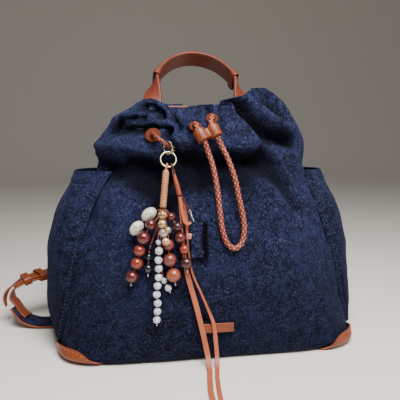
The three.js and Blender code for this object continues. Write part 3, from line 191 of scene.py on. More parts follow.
PATCHES = [
    Patch("corner_patch_front_left", -0.158, 0.026, 0.06),
    Patch("corner_patch_front_right", 0.158, 0.027, 0.06),
    Patch("corner_patch_back_left", -0.328, 0.034, 0.045),
    Patch("corner_patch_back_right", 0.328, 0.034, 0.045),
]
LABEL_WIDTH, LABEL_HEIGHT, LABEL_LEATHER, LABEL_LEVEL = 32, 9.5, 1.8, 37
YOKE_WIDTH, YOKE_FOOT, YOKE_TOP, YOKE_LEATHER = 160, 228, 273, 3
YOKE_FRONT = BAG_BACK * 0.69 + 3
YOKE_BACK = YOKE_FRONT + YOKE_LEATHER
SEAT_GAP, CLOTH_GAP = 0.3, 0.6

# Cords: the drawcord leaves one eyelet, runs through the toggle, hangs as a loop and comes back.
CORD_EXIT, TOGGLE_CLEARANCE, TOGGLE_WALL = 5, 1.1, 2.7
DRAWCORD = [
    (-15.3, -84.6, 236), (-9.5, -89, 225.4), (-5.9, -89.6, 214.6), (-1.8, -92.4, 201.7),
    (2.2, -98.4, 177.5), (4.3, -103.8, 152.5), (6.6, -107.8, 133.6), (11.3, -110.2, 121.6),
    (17.9, -111.2, 117.2), (24.8, -110.2, 121.1), (28.7, -107.2, 133.8), (28.3, -104.2, 147.9),
    (24.9, -100.6, 166), (20.7, -96.4, 188.3), (14.4, -91.4, 207.8), (9, -88.4, 219.4),
    (4, -87.6, 229.8), (-1.3, -83.6, 240.6),
]
SIDE_CORD = [(-56.8, -84.6, 228.4), (-51.5, -88.6, 224), (-47.2, -85, 221), (-43.6, -80.6, 219.2)]

# Way points of flat strips: where each lies, and the direction across it.
WIDE_LACE = [
    ((-37.2, -101.4, 169.9), (0.3, 1, 0)), ((-36, -103.4, 149), (0.3, 1, 0)),
    ((-33.8, -106, 127), (0.4, 1, 0)), ((-33, -109.8, 109), (1, 0.4, 0)),
    ((-30.4, -114, 92), (1, 0.05, 0.1)), ((-22.6, -117.6, 62), (1, 0, 0.1)),
    ((-14.7, -119.6, 27.7), (1, 0, 0.1)), ((-11.6, -124, 10), (1, 0.1, 0)),
    ((-11.6, -134, 2.2), (1, 0, 0)), ((-14.5, -152, 1.1), (1, 0, 0)),
    ((-17.8, -176, 1.1), (1, 0.1, 0)), ((-18.6, -198, 1.1), (1, 0, 0)),
]
NARROW_LACE = [
    ((-36.2, -98.8, 169.7), (1, 0, 0)), ((-30.2, -101.9, 147), (0.9, 0.4, 0)),
    ((-29.2, -108, 121.4), (0.3, 1, 0)), ((-26.2, -114.6, 96.1), (0.3, 1, 0)),
    ((-16.4, -118.6, 71.8), (0.3, 1, 0.1)), ((-10.8, -119.4, 58), (0.5, 1, 0.1)),
    ((-5.2, -119.4, 42.8), (1, 0.5, 0)), ((-3.2, -120.2, 26.9), (1, 0, 0)),
    ((-2.4, -124.6, 9.4), (1, 0, 0)), ((-4, -134, 2.1), (1, 0, 0)),
    ((-7.2, -152, 1.1), (1, 0, 0)), ((-10.2, -176, 1.1), (1, 0, 0)),
    ((-11.8, -197, 1.1), (1, 0, 0)),
]
THIN_LACE = [
    ((-35.4, -103.2, 169.7), (1, 0, 0.3)), ((-31.3, -104, 161.4), (0.9, 0.2, 0.4)),
    ((-26.9, -104.6, 154.6), (0.8, 0.2, 0.5)),
]
LOOPED_LACE = [
    ((-36.6, -104, 169.4), (1, 0, 0)), ((-35.6, -105.6, 161), (1, 0, 0)),
    ((-34.4, -107, 152), (0.9, 0.3, 0)), ((-32.4, -107.6, 144.6), (0.8, 0.3, 0.4)),
    ((-28.9, -107.4, 142.9), (0.2, 0.3, 1)), ((-26, -106.8, 144.2), (0.2, 0.3, 1)),
]
PAD_ACROSS = (1, 0, 0)
LEFT_PAD = [
    ((-21, 0, 236), PAD_ACROSS), ((-21, 0, 252), PAD_ACROSS), ((-22, 1, 266), PAD_ACROSS),
    ((-27, 14, 274.5), PAD_ACROSS), ((-36, 33, 268), PAD_ACROSS), ((-48, 45, 244), PAD_ACROSS),
    ((-64, 54, 204), PAD_ACROSS), ((-84, 59, 160), (1, 0, -0.4)), ((-106, 57, 120), (1, 0, -0.6)),
    ((-128, 49, 90), (1, 0, -0.7)), ((-147, 38, 72), (1, 0, -0.8)),
]
RIGHT_PAD = [
    ((39, 0, 236), PAD_ACROSS), ((39, 0, 252), PAD_ACROSS), ((40, 1, 266), PAD_ACROSS),
    ((44, 14, 274.5), PAD_ACROSS), ((50, 33, 268), PAD_ACROSS), ((58, 45, 244), PAD_ACROSS),
    ((72, 54, 204), PAD_ACROSS), ((92, 59, 160), (1, 0, -0.2)), ((106, 61, 128), (1, 0, -0.2)),
    ((115, 62, 100), (1, 0, -0.1)), ((121, 61, 76), PAD_ACROSS),
]
LEFT_END = [
    ((-164.8, 12, 4.4), (0, 1, 0)), ((-182, 13, 3.6), (0, 1, 0)), ((-202, 15, 4.4), (0, 1, 0)),
    ((-218, 18, 11), (0, 1, 0)), ((-227.6, 21, 23.4), (0, 1, 0)),
]
LEFT_BELT = [
    ((-230.6, 25, 34), (0, 1, 0.1)), ((-229.6, 29, 43), (0, 1, 0.1)), ((-219, 34, 51), (-0.1, 1, 0.1)),
    ((-205, 41, 54), (-0.3, 1, 0.1)), ((-190, 53, 55), (-0.6, 0.8, 0.1)), ((-173, 75, 58), (-0.8, 0.5, 0.3)),
]
RIGHT_END = [
    ((182, 8, 15.4), (0, 0, 1)), ((183, 26, 15.4), (0, 0, 1)), ((181, 44, 15.6), (0, 0, 1)),
    ((176, 60, 16), (0, 0, 1)), ((168, 75, 17), (0, 0, 1)),
]
RIGHT_BELT = [
    ((155, 94, 16), (0, 0, 1)), ((146, 108, 15), (0, 0, 1)), ((135, 120, 15), (0, 0, 1)),
    ((124, 130, 20), (0.3, 0, 1)), ((118, 136, 34), (0.8, 0, 0.6)), ((119, 135, 52), (1, 0, 0)),
]
STRAP_WIDTH, STRAP_THICKNESS, BELT_WIDTH, BELT_THICKNESS = 28, 5, 20, 2.6
TAIL_WIDTH, TAIL_THICKNESS, PAD_LEAD = 17, 2.2, 6
TailRow = namedtuple("TailRow", "frame width stand")
TAIL_ROWS = [
    TailRow(12, 0.9, 0), TailRow(11, 1, 0), TailRow(5, 1, 0), TailRow(4, 0.84, 2.2), TailRow(3, 0.14, 4.6),
]
KEEPER_FRAMES = {"upper": 8, "lower": 6}
BELT_STEPS, STUD_FRAME = 18, 10
KEEPER_LEATHER, KEEPER_GAP = 1.6, 0.95

# Handle: an arch that leans back, with its feet sewn flat on the yoke.
HANDLE_WIDTH, HANDLE_THICKNESS, HANDLE_HALF_SPAN = 25, 4.5, 62
HANDLE_RISE, HANDLE_LEAN, HANDLE_SHIFT, HANDLE_FOOT = 90, 40, 9, 240
HANDLE_STEPS = 32

# Charm hardware
RING_RADIUS, RING_WIRE = 8, 0.95
CLASP_HALF_WIDTH, CLASP_HALF_HEIGHT, CLASP_WIRE, CLASP_TURN, CORD_ASIDE = 5.4, 6.3, 0.85, 45, 0.8
LOOP_RADIUS, LOOP_WIRE = 2.7, 1.1
STEM_TURN, STEM_FOOT = -16, (-53.6, -102, 158.9)
SLEEVE_TURN, SLEEVE_FOOT = 26, (-36.6, -100.4, 170.9)
SQUARE_LEFT, SQUARE_RIGHT, SQUARE_TOP, SQUARE_FOOT = -26.4, -13.9, 143.4, 109.4
FRINGE_REACH = 5.5
TAG_CENTRE, TAG_SIZE = (-28.6, -112.4, 131.2), 5

# Strings of the charm: points of the thread, and beads where a radius and finish are given.
STRINGS = {
    "ovals": [
        Bead((-55.4, -100.6, 157.8)), Bead((-58.4, -100, 156.4)),
        Bead((-67.4, -100.4, 152.4), 6.2, "bead_speckled", 8.3),
        Bead((-79.8, -101, 138.9), 6, "bead_speckled", 8.2),
    ],
    "patterned": [
        Bead((-53.8, -103.9, 158)), Bead((-54.6, -109.6, 156.4)),
        Bead((-54.9, -113.4, 153.6), 4.6, "bead_gold"), Bead((-55.2, -116, 144.8), 4.6, "bead_gold"),
        Bead((-54.6, -118.4, 136.2), 4.5, "bead_rose"), Bead((-52.4, -120.6, 128.2), 4, "bead_painted"),
    ],
    "brown": [
        Bead((-51.6, -103.4, 157.8)), Bead((-51.7, -107.2, 146)),
        Bead((-49.3, -108.4, 137.2), 3.6, "bead_rose"), Bead((-49.3, -111.6, 122.9), 6, "bead_pink"),
        Bead((-48.2, -115, 108.6), 6.8, "bead_pink"), Bead((-44.9, -117.6, 93.8), 7.1, "bead_amber"),
        Bead((-43.2, -118.4, 84.6)),
    ],
    "red_left": [
        Bead((-55.8, -103, 157.8)), Bead((-59, -105.4, 149.6)),
        Bead((-66, -108.8, 143.1), 5.7, "bead_red"), Bead((-73.4, -110.6, 130.6), 6.7, "bead_red"),
        Bead((-77.6, -109.8, 118), 5.9, "bead_orange"), Bead((-80.3, -110, 105.2), 6.2, "bead_orange"),
        Bead((-85.4, -110.2, 91.8), 6.4, "bead_red"), Bead((-86.4, -110.4, 83.6)),
    ],
    "red_right": [
        Bead((-51.9, -101.2, 157.8)), Bead((-48.6, -103.4, 154.6)),
        Bead((-46, -105.6, 150.1), 4.6, "bead_red"), Bead((-40.2, -110, 140.6), 4.9, "bead_dark"),
        Bead((-37.6, -113.4, 130.2), 5.6, "bead_red"), Bead((-34, -117, 119), 5, "bead_orange"),
        Bead((-32.4, -119.6, 105.8), 6, "bead_dark"), Bead((-31.8, -120.4, 97.6)),
    ],
    "black": [
        Bead((-54.4, -99, 157.8)), Bead((-57, -100.6, 146)), Bead((-64, -103.4, 128)),
        Bead((-67, -105.6, 120.4), 3, "bead_black"), Bead((-68.6, -107.6, 110.6), 4, "bead_black"),
        Bead((-69.2, -109.6, 99.4), 4.9, "bead_black"), Bead((-69.6, -110.2, 92.2)),
    ],
    "white_long": [
        Bead((-53.4, -101.2, 157.8)), Bead((-56.2, -103.4, 146)), Bead((-59, -110.4, 134)),
        Bead((-59.3, -115.4, 126.8), 2.6, "bead_white"), Bead((-59, -117, 118.6), 4, "bead_white"),
        Bead((-59.6, -117.4, 109.6), 3.9, "bead_white"), Bead((-59.4, -117, 100.9), 3.9, "bead_white"),
        Bead((-59.6, -116.6, 92.2), 3.9, "bead_white"), Bead((-60.8, -116.4, 83.5), 3.9, "bead_white"),
        Bead((-61.6, -116.8, 74.8), 3.9, "bead_white"), Bead((-60.9, -117.6, 66.2), 3.9, "bead_white"),
        Bead((-61.3, -118.4, 58), 3.8, "bead_white"), Bead((-62, -119, 49.8), 3.8, "bead_white"),
        Bead((-62.1, -119.2, 44.6)),
    ],
    "white_short": [
        Bead((-52.6, -99.4, 157.8)), Bead((-55.6, -102.6, 138)), Bead((-56.6, -105.6, 118)),
        Bead((-55.6, -110.4, 97)), Bead((-54.1, -112.6, 87.2), 3.1, "bead_white"),
        Bead((-50, -114.6, 80.3), 3.6, "bead_white"), Bead((-48.2, -115.2, 76.2)),
    ],
}

# Stage, in metres and degrees: a floor that bends up into a wall behind the bag, and the photograph's camera.
FLOOR_LENGTH, FLOOR_FRONT, FLOOR_HALF_WIDTH, COVE_START, COVE_RADIUS = 9.5, 4, 5, 2.5, 1.6
SURROUND_COLOUR, SURROUND_STRENGTH = (1.0, 0.97, 0.95, 1), 0.18
KEY_PLACE, KEY_TOWARDS, KEY_SIZE = (0.05, -0.5, 0.9), (0, 0, 0.14), 0.55
FILL_PLACE, FILL_TOWARDS, FILL_SIZE = (1.1, -0.7, 0.6), (0, 0, 0.12), 0.8
CAMERA_PLACE, CAMERA_TURN, CAMERA_SENSOR = (-0.0882, -0.5571, 0.221), (83.2, 0, -9), 36


def colour(red, green, blue):
    """Linear colour from the 0 to 255 numbers of a colour picker."""
    parts = (red, green, blue)
    return tuple(((part / 255 + 0.055) / 1.055) ** 2.4 if part > 10 else part / 3294.6 for part in parts)


def colour_prop(name, description, value):
    return FloatVectorProperty(
        name=name, description=description, subtype="COLOR", size=3, min=0, max=1, default=colour(*value),
    )


def length_prop(name, description, value):
    return FloatProperty(name=name, description=description, subtype="DISTANCE", unit="LENGTH", default=value)


def power_prop(name, description, value):
    return FloatProperty(name=name, description=description, subtype="POWER", unit="POWER", default=value)


class ClothSettings(bpy.types.PropertyGroup):
    """Colours and relief of the denim."""

    deep: colour_prop("Deep", "Colour of the dark yarn", (6, 7, 15))
    lit: colour_prop("Lit", "Colour of the worn yarn", (38, 43, 76))
    fleck: colour_prop("Fleck", "Colour of the pale fibres in the weave", (108, 113, 146))
    lining: colour_prop("Lining", "Colour of the lining", (30, 30, 38))
    crumple: length_prop("Crumple", "Depth of the small hollows between the folds", 0.0026)
    pleat: length_prop("Pleat", "Depth of the small gathers at the mouth", 0.0022)


class LeatherSettings(bpy.types.PropertyGroup):
    """Colours and stitching of the leather."""

    tan: colour_prop("Tan", "Colour of the straps, handle and trim", (142, 66, 31))
    dark: colour_prop("Dark", "Colour in the grain and along the worn edges", (82, 34, 18))
    braid: colour_prop("Braid", "Colour of the braided cord", (128, 52, 34))
    # Colour of the painted highlight on the braid's crowns.
    braid_highlight: colour_prop("Pale braid", "Colour of the worn crowns of the braid", (214, 136, 112))
    lace: colour_prop("Lace", "Colour of the flat laces", (178, 98, 68))
    thread: colour_prop("Thread", "Colour of the sewing thread", (206, 140, 92))
    stitch: length_prop("Stitch", "Length of one stitch", 0.0027)
    pitch: length_prop("Stitch pitch", "Distance from stitch to stitch", 0.0042)


class CordSettings(bpy.types.PropertyGroup):
    """Sizes of the cords and laces."""

    drawcord: length_prop("Drawcord", "Radius of the drawcord", 0.0029)
    side_cord: length_prop("Side cord", "Radius of the cord that carries the charm", 0.0023)
    strands: IntProperty(
        name="Strands", description="Strands of the braid in each direction", default=4, min=3, max=8,
    )
    wide_lace: length_prop("Wide lace", "Width of the wide lace", 0.0054)
    narrow_lace: length_prop("Narrow lace", "Width of the narrow lace", 0.0044)
    lace_leather: length_prop("Lace leather", "Thickness of the laces", 0.0012)


class CharmSettings(bpy.types.PropertyGroup):
    """Colours of the charm's metal and beads."""

    metal: colour_prop("Metal", "Colour of the ring and clasps", (214, 196, 158))
    red: colour_prop("Red", "Colour of the lacquered red beads", (86, 24, 20))
    orange: colour_prop("Orange", "Colour of the lacquered orange-brown beads", (128, 46, 24))
    dark: colour_prop("Dark", "Colour of the darkest beads", (58, 14, 18))
    pink: colour_prop("Pink", "Colour of the pinkish brown beads", (116, 50, 40))
    amber: colour_prop("Amber", "Colour of the light brown beads", (140, 68, 36))
    white: colour_prop("White", "Colour of the veined white beads", (224, 226, 236))
    cream: colour_prop("Cream", "Colour of the long speckled beads", (244, 240, 226))


class StageSettings(bpy.types.PropertyGroup):
    """Floor, lights and camera."""

    floor: colour_prop("Floor", "Colour of the floor", (232, 226, 216))
    lens: FloatProperty(name="Lens", description="Focal length of the camera in millimetres", default=41.4)
    key: power_prop("Key light", "Power of the large light above the front", 20)
    fill: power_prop("Fill light", "Power of the light on the right", 4)


# Surfaces and routes
def unit(vectors):
    vectors = np.asarray(vectors, float)
    return vectors / np.linalg.norm(vectors, axis=-1, keepdims=True)


def mix(a, b, share):
    return a + (b - a) * share


def eased(value):
    value = np.clip(value, 0, 1)
    return value * value * (3 - 2 * value)


def smooth_row(rows, key, name, at):
    """A smooth line through a table's rows."""
    knots = np.array([getattr(row, key) for row in rows], float)
    values = np.array([getattr(row, name) for row in rows], float)
    slopes = np.gradient(values, knots)
    at = np.clip(at, knots[0], knots[-1])
    index = np.clip(np.searchsorted(knots, at, side="right") - 1, 0, len(knots) - 2)
    step = knots[index + 1] - knots[index]
    share = (at - knots[index]) / step
    rest = 1 - share
    start = rest ** 2 * (values[index] * (1 + 2 * share) + step * slopes[index] * share)
    end = share ** 2 * (values[index + 1] * (3 - 2 * share) - step * slopes[index + 1] * rest)
    return start + end


def fold_depth(turn, up, folds):
    depth = np.zeros(np.broadcast(turn, up).shape)
    for fold in folds:
        along_turn = (fold.to_turn - fold.turn) * FOLD_GIRTH
        along_up = (fold.to_up - fold.up) * BAG_HEIGHT
        away = turn - fold.turn
        across_turn = (away - np.round(away)) * FOLD_GIRTH
        across_up = (up - fold.up) * BAG_HEIGHT
        reach = (across_turn * along_turn + across_up * along_up) / (along_turn ** 2 + along_up ** 2)
        share = np.clip(reach, 0, 1)
        gap = np.hypot(across_turn - share * along_turn, across_up - share * along_up)
        fade = 1 - 0.7 * share if fold.up == 1 else 1
        depth += fold.depth * FOLD_DEPTH * fade * np.exp(-((gap / (fold.width * FOLD_WIDTH)) ** 2))
    return depth


def crease_depth(turn, up):
    """Depth of the finer creases, which fade out round the eyelets."""
    depth = np.zeros(np.broadcast(turn, up).shape)
    x, z = turn * FOLD_GIRTH, up * BAG_HEIGHT
    for crease in CREASES:
        gaps = []
        points = [(at[0] * FOLD_GIRTH, at[1] * BAG_HEIGHT) for at in crease.points]
        for (ax, az), (bx, bz) in zip(points, points[1:]):
            reach = ((x - ax) * (bx - ax) + (z - az) * (bz - az)) / ((bx - ax) ** 2 + (bz - az) ** 2)
            share = np.clip(reach, 0, 1)
            gaps.append(np.hypot(x - mix(ax, bx, share), z - mix(az, bz, share)))
        width = crease.width * FOLD_WIDTH
        depth += crease.depth * FOLD_DEPTH * np.exp(-((np.min(gaps, axis=0) / width) ** 2))
    for spot_turn, spot_up in EYELET_PLACES:
        gap = np.hypot(x - spot_turn * FOLD_GIRTH, z - spot_up * BAG_HEIGHT)
        depth *= 1 - np.exp(-((gap / EYELET_CALM) ** 4))
    return depth


def body_point(turn, up, outward=0.0):
    """Points on the bag: a turn of 0 is the front and 0.25 the side towards +X."""
    turn, up = np.asarray(turn, float), np.asarray(up, float)
    side, front, back, rounding = (smooth_row(SECTIONS, "up", name, up) for name in Section._fields[1:])
    sine, cosine = np.sin(turn * math.tau), np.cos(turn * math.tau)
    deep = np.where(cosine > 0, BAG_FRONT * front, BAG_BACK * back)
    share = (np.abs(cosine) / deep) ** rounding + (np.abs(sine) / (BAG_HALF_WIDTH * side)) ** rounding
    radius = share ** (-1 / rounding) - fold_depth(turn, up, FOLDS) + outward
    lift = eased((up - 0.86) / 0.14) * smooth_row(RIM, "turn", "rise", turn - np.round(turn)) * EAR_RISE
    return np.stack([radius * sine, -radius * cosine, up * BAG_HEIGHT + lift], axis=-1)


def smooth_line(points, steps_each=24):
    """Dense points on the smooth line through these, and the place of each in the list."""
    rows = np.array(points, float)
    ends = [2 * rows[0] - rows[1], *rows, 2 * rows[-1] - rows[-2]]
    share = np.linspace(0, 1, steps_each, endpoint=False)[:, None]
    dense, place = [], []
    for index in range(len(rows) - 1):
        a, b, c, d = ends[index:index + 4]
        first, second, third = (max(np.linalg.norm(q - p), 1e-6) ** 0.5 for p, q in ((a, b), (b, c), (c, d)))
        leave = ((b - a) / first - (c - a) / (first + second) + (c - b) / second) * second
        reach = ((c - b) / second - (d - b) / (second + third) + (d - c) / third) * second
        rest = 1 - share
        start = rest ** 2 * (b * (1 + 2 * share) + leave * share)
        end = share ** 2 * (c * (3 - 2 * share) - reach * rest)
        dense.append(start + end)
        place.append(index + share[:, 0])
    dense.append(rows[-1:])
    place.append([len(rows) - 1.0])
    return np.concatenate(dense), np.concatenate(place)


def reach_along(line):
    return np.concatenate([[0], np.cumsum(np.linalg.norm(np.diff(line, axis=0), axis=1))])


def picked(values, at, wanted):
    return np.stack([np.interp(wanted, at, values[:, axis]) for axis in range(values.shape[1])], axis=1)


def even_line(points, steps):
    """Even steps along the smooth line, and the place of each in the list of way points."""
    dense, place = smooth_line(points)
    reach = reach_along(dense)
    wanted = np.linspace(0, reach[-1], steps + 1)
    return picked(dense, reach, wanted), np.interp(wanted, reach, place)


def strip_frames(rows, steps):
    """Frames of a flat strip through (point, across) rows."""
    line, place = even_line([at for at, _ in rows], steps)
    along = unit(np.gradient(line, axis=0))
    across = picked(np.array([row[1] for row in rows], float), np.arange(len(rows)), place)
    face = unit(np.cross(along, across))
    return Frames(line, along, unit(np.cross(face, along)), face)


def round_frames(points, steps):
    """Frames of a round cord, carried along it without twist."""
    line, _ = even_line(points, steps)
    along = unit(np.gradient(line, axis=0))
    side = np.cross(along[0], (0.3, 1, 0.2))
    sides = []
    for direction in along:
        side = unit(side - direction * side.dot(direction))
        sides.append(side)
    across = np.array(sides)
    return Frames(line, along, across, np.cross(along, across))


def some_frames(frames, rows):
    return Frames(*(part[rows] for part in frames))


def length_of(points):
    return reach_along(smooth_line(points)[0])[-1]


# Mesh helpers
def bent_grid(columns, rows, place, map_size=(1.0, 1.0), mark=None):
    """A grid of faces moved onto a surface: place takes shares across and up, and gives the points."""
    shape = bmesh.new()
    layer = shape.loops.layers.uv.new("surface")
    # A float per vertex that the finishes turn into painted shade and painted highlight.
    strand = shape.verts.layers.float.new("strand")
    bmesh.ops.create_grid(shape, x_segments=columns, y_segments=rows, size=0.5)
    for face in shape.faces:
        for loop in face.loops:
            corner = loop.vert.co
            loop[layer].uv = ((corner.x + 0.5) * map_size[0], (corner.y + 0.5) * map_size[1])
    shares = np.array([vertex.co[:2] for vertex in shape.verts]) + 0.5
    u, v = np.rint(shares[:, 0] * columns) / columns, np.rint(shares[:, 1] * rows) / rows
    for vertex, point in zip(shape.verts, place(u, v).tolist()):
        vertex.co = point
    if mark:
        for vertex, value in zip(shape.verts, mark(u, v).tolist()):
            vertex[strand] = value
    return shape


def welded(shape, gap=0.001):
    """The same shape with its seams merged, its ends closed and its faces outwards."""
    bmesh.ops.remove_doubles(shape, verts=shape.verts, dist=gap)
    rim = [edge for edge in shape.edges if edge.is_boundary]
    if rim:
        bmesh.ops.holes_fill(shape, edges=rim, sides=0)
    bmesh.ops.recalc_face_normals(shape, faces=shape.faces)
    return shape


def softened(shape, edges, offset, segments=2):
    bmesh.ops.bevel(
        shape, geom=edges, offset=offset, offset_type="OFFSET", segments=segments,
        profile=0.5, affect="EDGES", material=-1, clamp_overlap=True,
    )
    return shape


def thickened(shape, thickness, rounding=0.0):
    """A sheet given thickness away from its face, with its rim rounded."""
    bmesh.ops.solidify(shape, geom=shape.faces[:], thickness=thickness)
    if rounding:
        sharp = [edge for edge in shape.edges if len(edge.link_faces) == 2 and edge.calc_face_angle(0) > 1]
        softened(shape, sharp, rounding)
    return shape


def gathered(target, *others):
    """One shape out of several."""
    for other in others:
        carried = bpy.data.meshes.new("carried")
        other.to_mesh(carried)
        other.free()
        target.from_mesh(carried)
        bpy.data.meshes.remove(carried)
    return target


def painted(shape, index):
    for face in shape.faces:
        face.material_index = index
    return shape


def finished(shape, name, finishes, replaced=(), body="bag", sharp=40):
    """The piece: its mesh in metres, its finishes, its body, and the nodes that it stands for."""
    bmesh.ops.scale(shape, vec=(MM, MM, MM), verts=shape.verts)
    mesh = bpy.data.meshes.new(name)
    shape.to_mesh(mesh)
    shape.free()
    for finish in finishes:
        mesh.materials.append(bpy.data.materials[finish])
    mesh.shade_smooth()
    mesh.set_sharp_from_angle(angle=math.radians(sharp))
    piece = bpy.data.objects.new(name, mesh)
    bpy.context.scene.collection.objects.link(piece)
    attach(piece, body)
    if replaced:
        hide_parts(*replaced)
    return piece


def leather_piece(shape, part, finish="tan_leather", sharp=60):
    """A piece of leather that stands for the CAD's solid of the same name."""
    return finished(shape, f"{part}_leather", [finish], [part], sharp=sharp)


def metal_piece(shape, part, finish, sharp=50):
    return finished(shape, f"{part}_metal", [finish], [part], sharp=sharp)


def sewn_piece(shape, part, finish="thread"):
    return finished(shape, f"{part}_stitches", [finish], sharp=180)


def standing(centre, axis, scale=(1, 1, 1)):
    """Puts a shape made round the Z axis at centre, with Z turned to axis."""
    turn = Vector((0, 0, 1)).rotation_difference(Vector(axis)).to_matrix().to_4x4()
    return Matrix.Translation(Vector(centre)) @ turn @ Matrix.Diagonal((*scale, 1))


def turned(section, place, sides=32):
    """A round shape: a closed section of (radius, height) spun about its own axis."""
    shape = bmesh.new()
    corners = [shape.verts.new((radius, 0, height)) for radius, height in section]
    edges = [shape.edges.new((a, b)) for a, b in zip(corners, corners[1:] + corners[:1])]
    bmesh.ops.spin(
        shape, geom=corners + edges, cent=(0, 0, 0), axis=(0, 0, 1), dvec=(0, 0, 0),
        angle=math.tau, steps=sides, use_merge=True, use_duplicate=False,
    )
    bmesh.ops.remove_doubles(shape, verts=shape.verts, dist=0.001)
    bmesh.ops.transform(shape, matrix=place, verts=shape.verts)
    bmesh.ops.recalc_face_normals(shape, faces=shape.faces)
    return shape


def ring_section(radius, wire, points=10):
    return [(radius + across, up) for across, up in round_outline(wire, points)]


def rounded_box_section(inner, outer, low, high, rounding):
    """A section from one radius to another with its corners rounded."""
    points = []
    for corner, (x, z) in enumerate(((outer, high), (inner, high), (inner, low), (outer, low))):
        middle = (x + rounding * (1 if x == inner else -1), z + rounding * (1 if z == low else -1))
        for step in range(4):
            angle = (corner + step / 3) * math.pi / 2
            points.append((middle[0] + rounding * math.cos(angle), middle[1] + rounding * math.sin(angle)))
    return points


def bar(shape, start, end, radius, sides=20, tip=None):
    """A round bar with softened ends."""
    start, end = Vector(start), Vector(end)
    made = bmesh.ops.create_cone(
        shape, cap_ends=True, segments=sides, radius1=radius, radius2=radius if tip is None else tip,
        depth=(end - start).length, matrix=standing((start + end) / 2, end - start),
    )["verts"]
    rims = {edge for vertex in made for edge in vertex.link_edges if edge.calc_face_angle(0) > 1}
    return softened(shape, list(rims), radius * 0.25)


def ball(shape, centre, radius, columns=16, rows=10):
    place = Matrix.Translation(centre)
    bmesh.ops.create_uvsphere(shape, u_segments=columns, v_segments=rows, radius=radius, matrix=place)
    return shape


def block(shape, place, size, rounding):
    """A box with rounded edges."""
    bmesh.ops.create_cube(shape, size=1, matrix=place @ Matrix.Diagonal((*size, 1)))
    return softened(shape, shape.edges[:], rounding, 3)


def swept(frames, outline, grow=None, map_size=(1.0, 1.0), mark=None):
    """A closed skin: an outline of (across, face) points carried along the frames."""
    outline = np.asarray(outline, float)
    steps = len(frames.point) - 1
    count = outline.shape[-2]
    grow = np.ones((steps + 1, 2)) if grow is None else grow

    def place(u, v):
        column, row = np.rint(u * count).astype(int) % count, np.rint(v * steps).astype(int)
        offset = (outline[row, column] if outline.ndim == 3 else outline[column]) * grow[row]
        return frames.point[row] + frames.across[row] * offset[:, :1] + frames.face[row] * offset[:, 1:]

    return welded(bent_grid(count, steps, place, map_size, mark))


def strip_outline(width, thickness, radius=None, crown=0.0, lift=0.0):
    """Points round a flat strip's section, its corners rounded and its faces crowned."""
    radius = min(radius or thickness * 0.42, thickness * 0.49)
    points = []
    for corner, (side, level) in enumerate(((1, 1), (-1, 1), (-1, -1), (1, -1))):
        middle = (side * (width / 2 - radius), level * (thickness / 2 - radius))
        for step in range(4):
            angle = (corner + step / 3) * math.pi / 2
            points.append((middle[0] + radius * math.cos(angle), middle[1] + radius * math.sin(angle) + lift))
        if side == level:
            for step in range(1, 8):
                share = step / 8
                x = side * mix(1, -1, share) * (width / 2 - radius)
                points.append((x, level * (thickness / 2 + crown * math.sin(math.pi * share)) + lift))
    return points


def round_outline(radius, points=16):
    angles = [math.tau * step / points for step in range(points)]
    return [(radius * math.cos(angle), radius * math.sin(angle)) for angle in angles]


def add_stitches(shape, middles, along, normals, length, width=0.8, height=0.5):
    """Small raised stitches."""
    for middle, direction, normal in zip(middles, along, normals):
        side = np.cross(direction, normal)
        columns = (direction * length / 2, side * width / 2, normal * height, middle)
        axes = Matrix([*zip(*columns), (0, 0, 0, 1)])
        bmesh.ops.create_icosphere(shape, subdivisions=1, radius=1, matrix=axes)
    return shape


def stitch_row(shape, frames, aside, lift, skip=(0, 0)):
    """A row of stitches along a strip, aside from its middle and lifted off it."""
    leather = bpy.context.scene.backpack_leather
    line = frames.point + frames.across * aside + frames.face * lift
    reach = reach_along(line)
    pitch = leather.pitch / MM
    wanted = np.arange(pitch * 0.7 + skip[0], reach[-1] - pitch * 0.4 - skip[1], pitch)
    middles = picked(line, reach, wanted)
    along = unit(picked(frames.along, reach, wanted))
    normals = unit(picked(frames.face, reach, wanted)) * np.sign(lift)
    return add_stitches(shape, middles, along, normals, leather.stitch / MM)


def surface_stitches(shape, place, shares, length=2.6):
    """Stitches on a surface: place(u, v) at each pair of shares, sewn towards the next pair."""
    shares = np.array(shares, float)
    middles = place(shares[:, 0], shares[:, 1])
    beside = place(shares[:, 0] + 0.002, shares[:, 1])
    above = place(shares[:, 0], shares[:, 1] + 0.002)
    normals = unit(np.cross(beside - middles, above - middles))
    along = unit(np.gradient(middles, axis=0))
    return add_stitches(shape, middles + normals * 0.15, along, normals, length)


# Finishes
def node(tree, kind, inputs=None, **values):
    made = tree.nodes.new(kind)
    for key, value in values.items():
        setattr(made, key, value)
    for socket, value in (inputs or {}).items():
        if isinstance(value, bpy.types.NodeSocket):
            tree.links.new(value, made.inputs[socket])
        else:
            made.inputs[socket].default_value = value
    return made


def new_finish(name, roughness, **sockets):
    """A material with its shader's even values set, its tree, its shader and the object's own coordinates."""
    material = bpy.data.materials.new(name)
    material.use_nodes = True
    tree = material.node_tree
    shader = tree.nodes["Principled BSDF"]
    shader.inputs["Roughness"].default_value = roughness
    for socket, value in sockets.items():
        shader.inputs[socket.replace("_", " ")].default_value = value
    return tree, shader, node(tree, "ShaderNodeTexCoord")


def speckle(tree, place, scale, detail=3.0, roughness=0.6, distortion=0.0):
    names = ("Vector", "Scale", "Detail", "Roughness", "Distortion")
    values = (place, scale, detail, roughness, distortion)
    return node(tree, "ShaderNodeTexNoise", dict(zip(names, values))).outputs["Fac"]


def spread(tree, shader, value, low, high):
    """Lets the gloss vary from one roughness to another."""
    ranged = node(tree, "ShaderNodeMapRange", {"Value": value, "To Min": low, "To Max": high})
    tree.links.new(ranged.outputs["Result"], shader.inputs["Roughness"])


def coloured(tree, shader, tone):
    tree.links.new(tone, shader.inputs["Base Color"])


def tinted(main, share):
    return tuple(part * share for part in main)


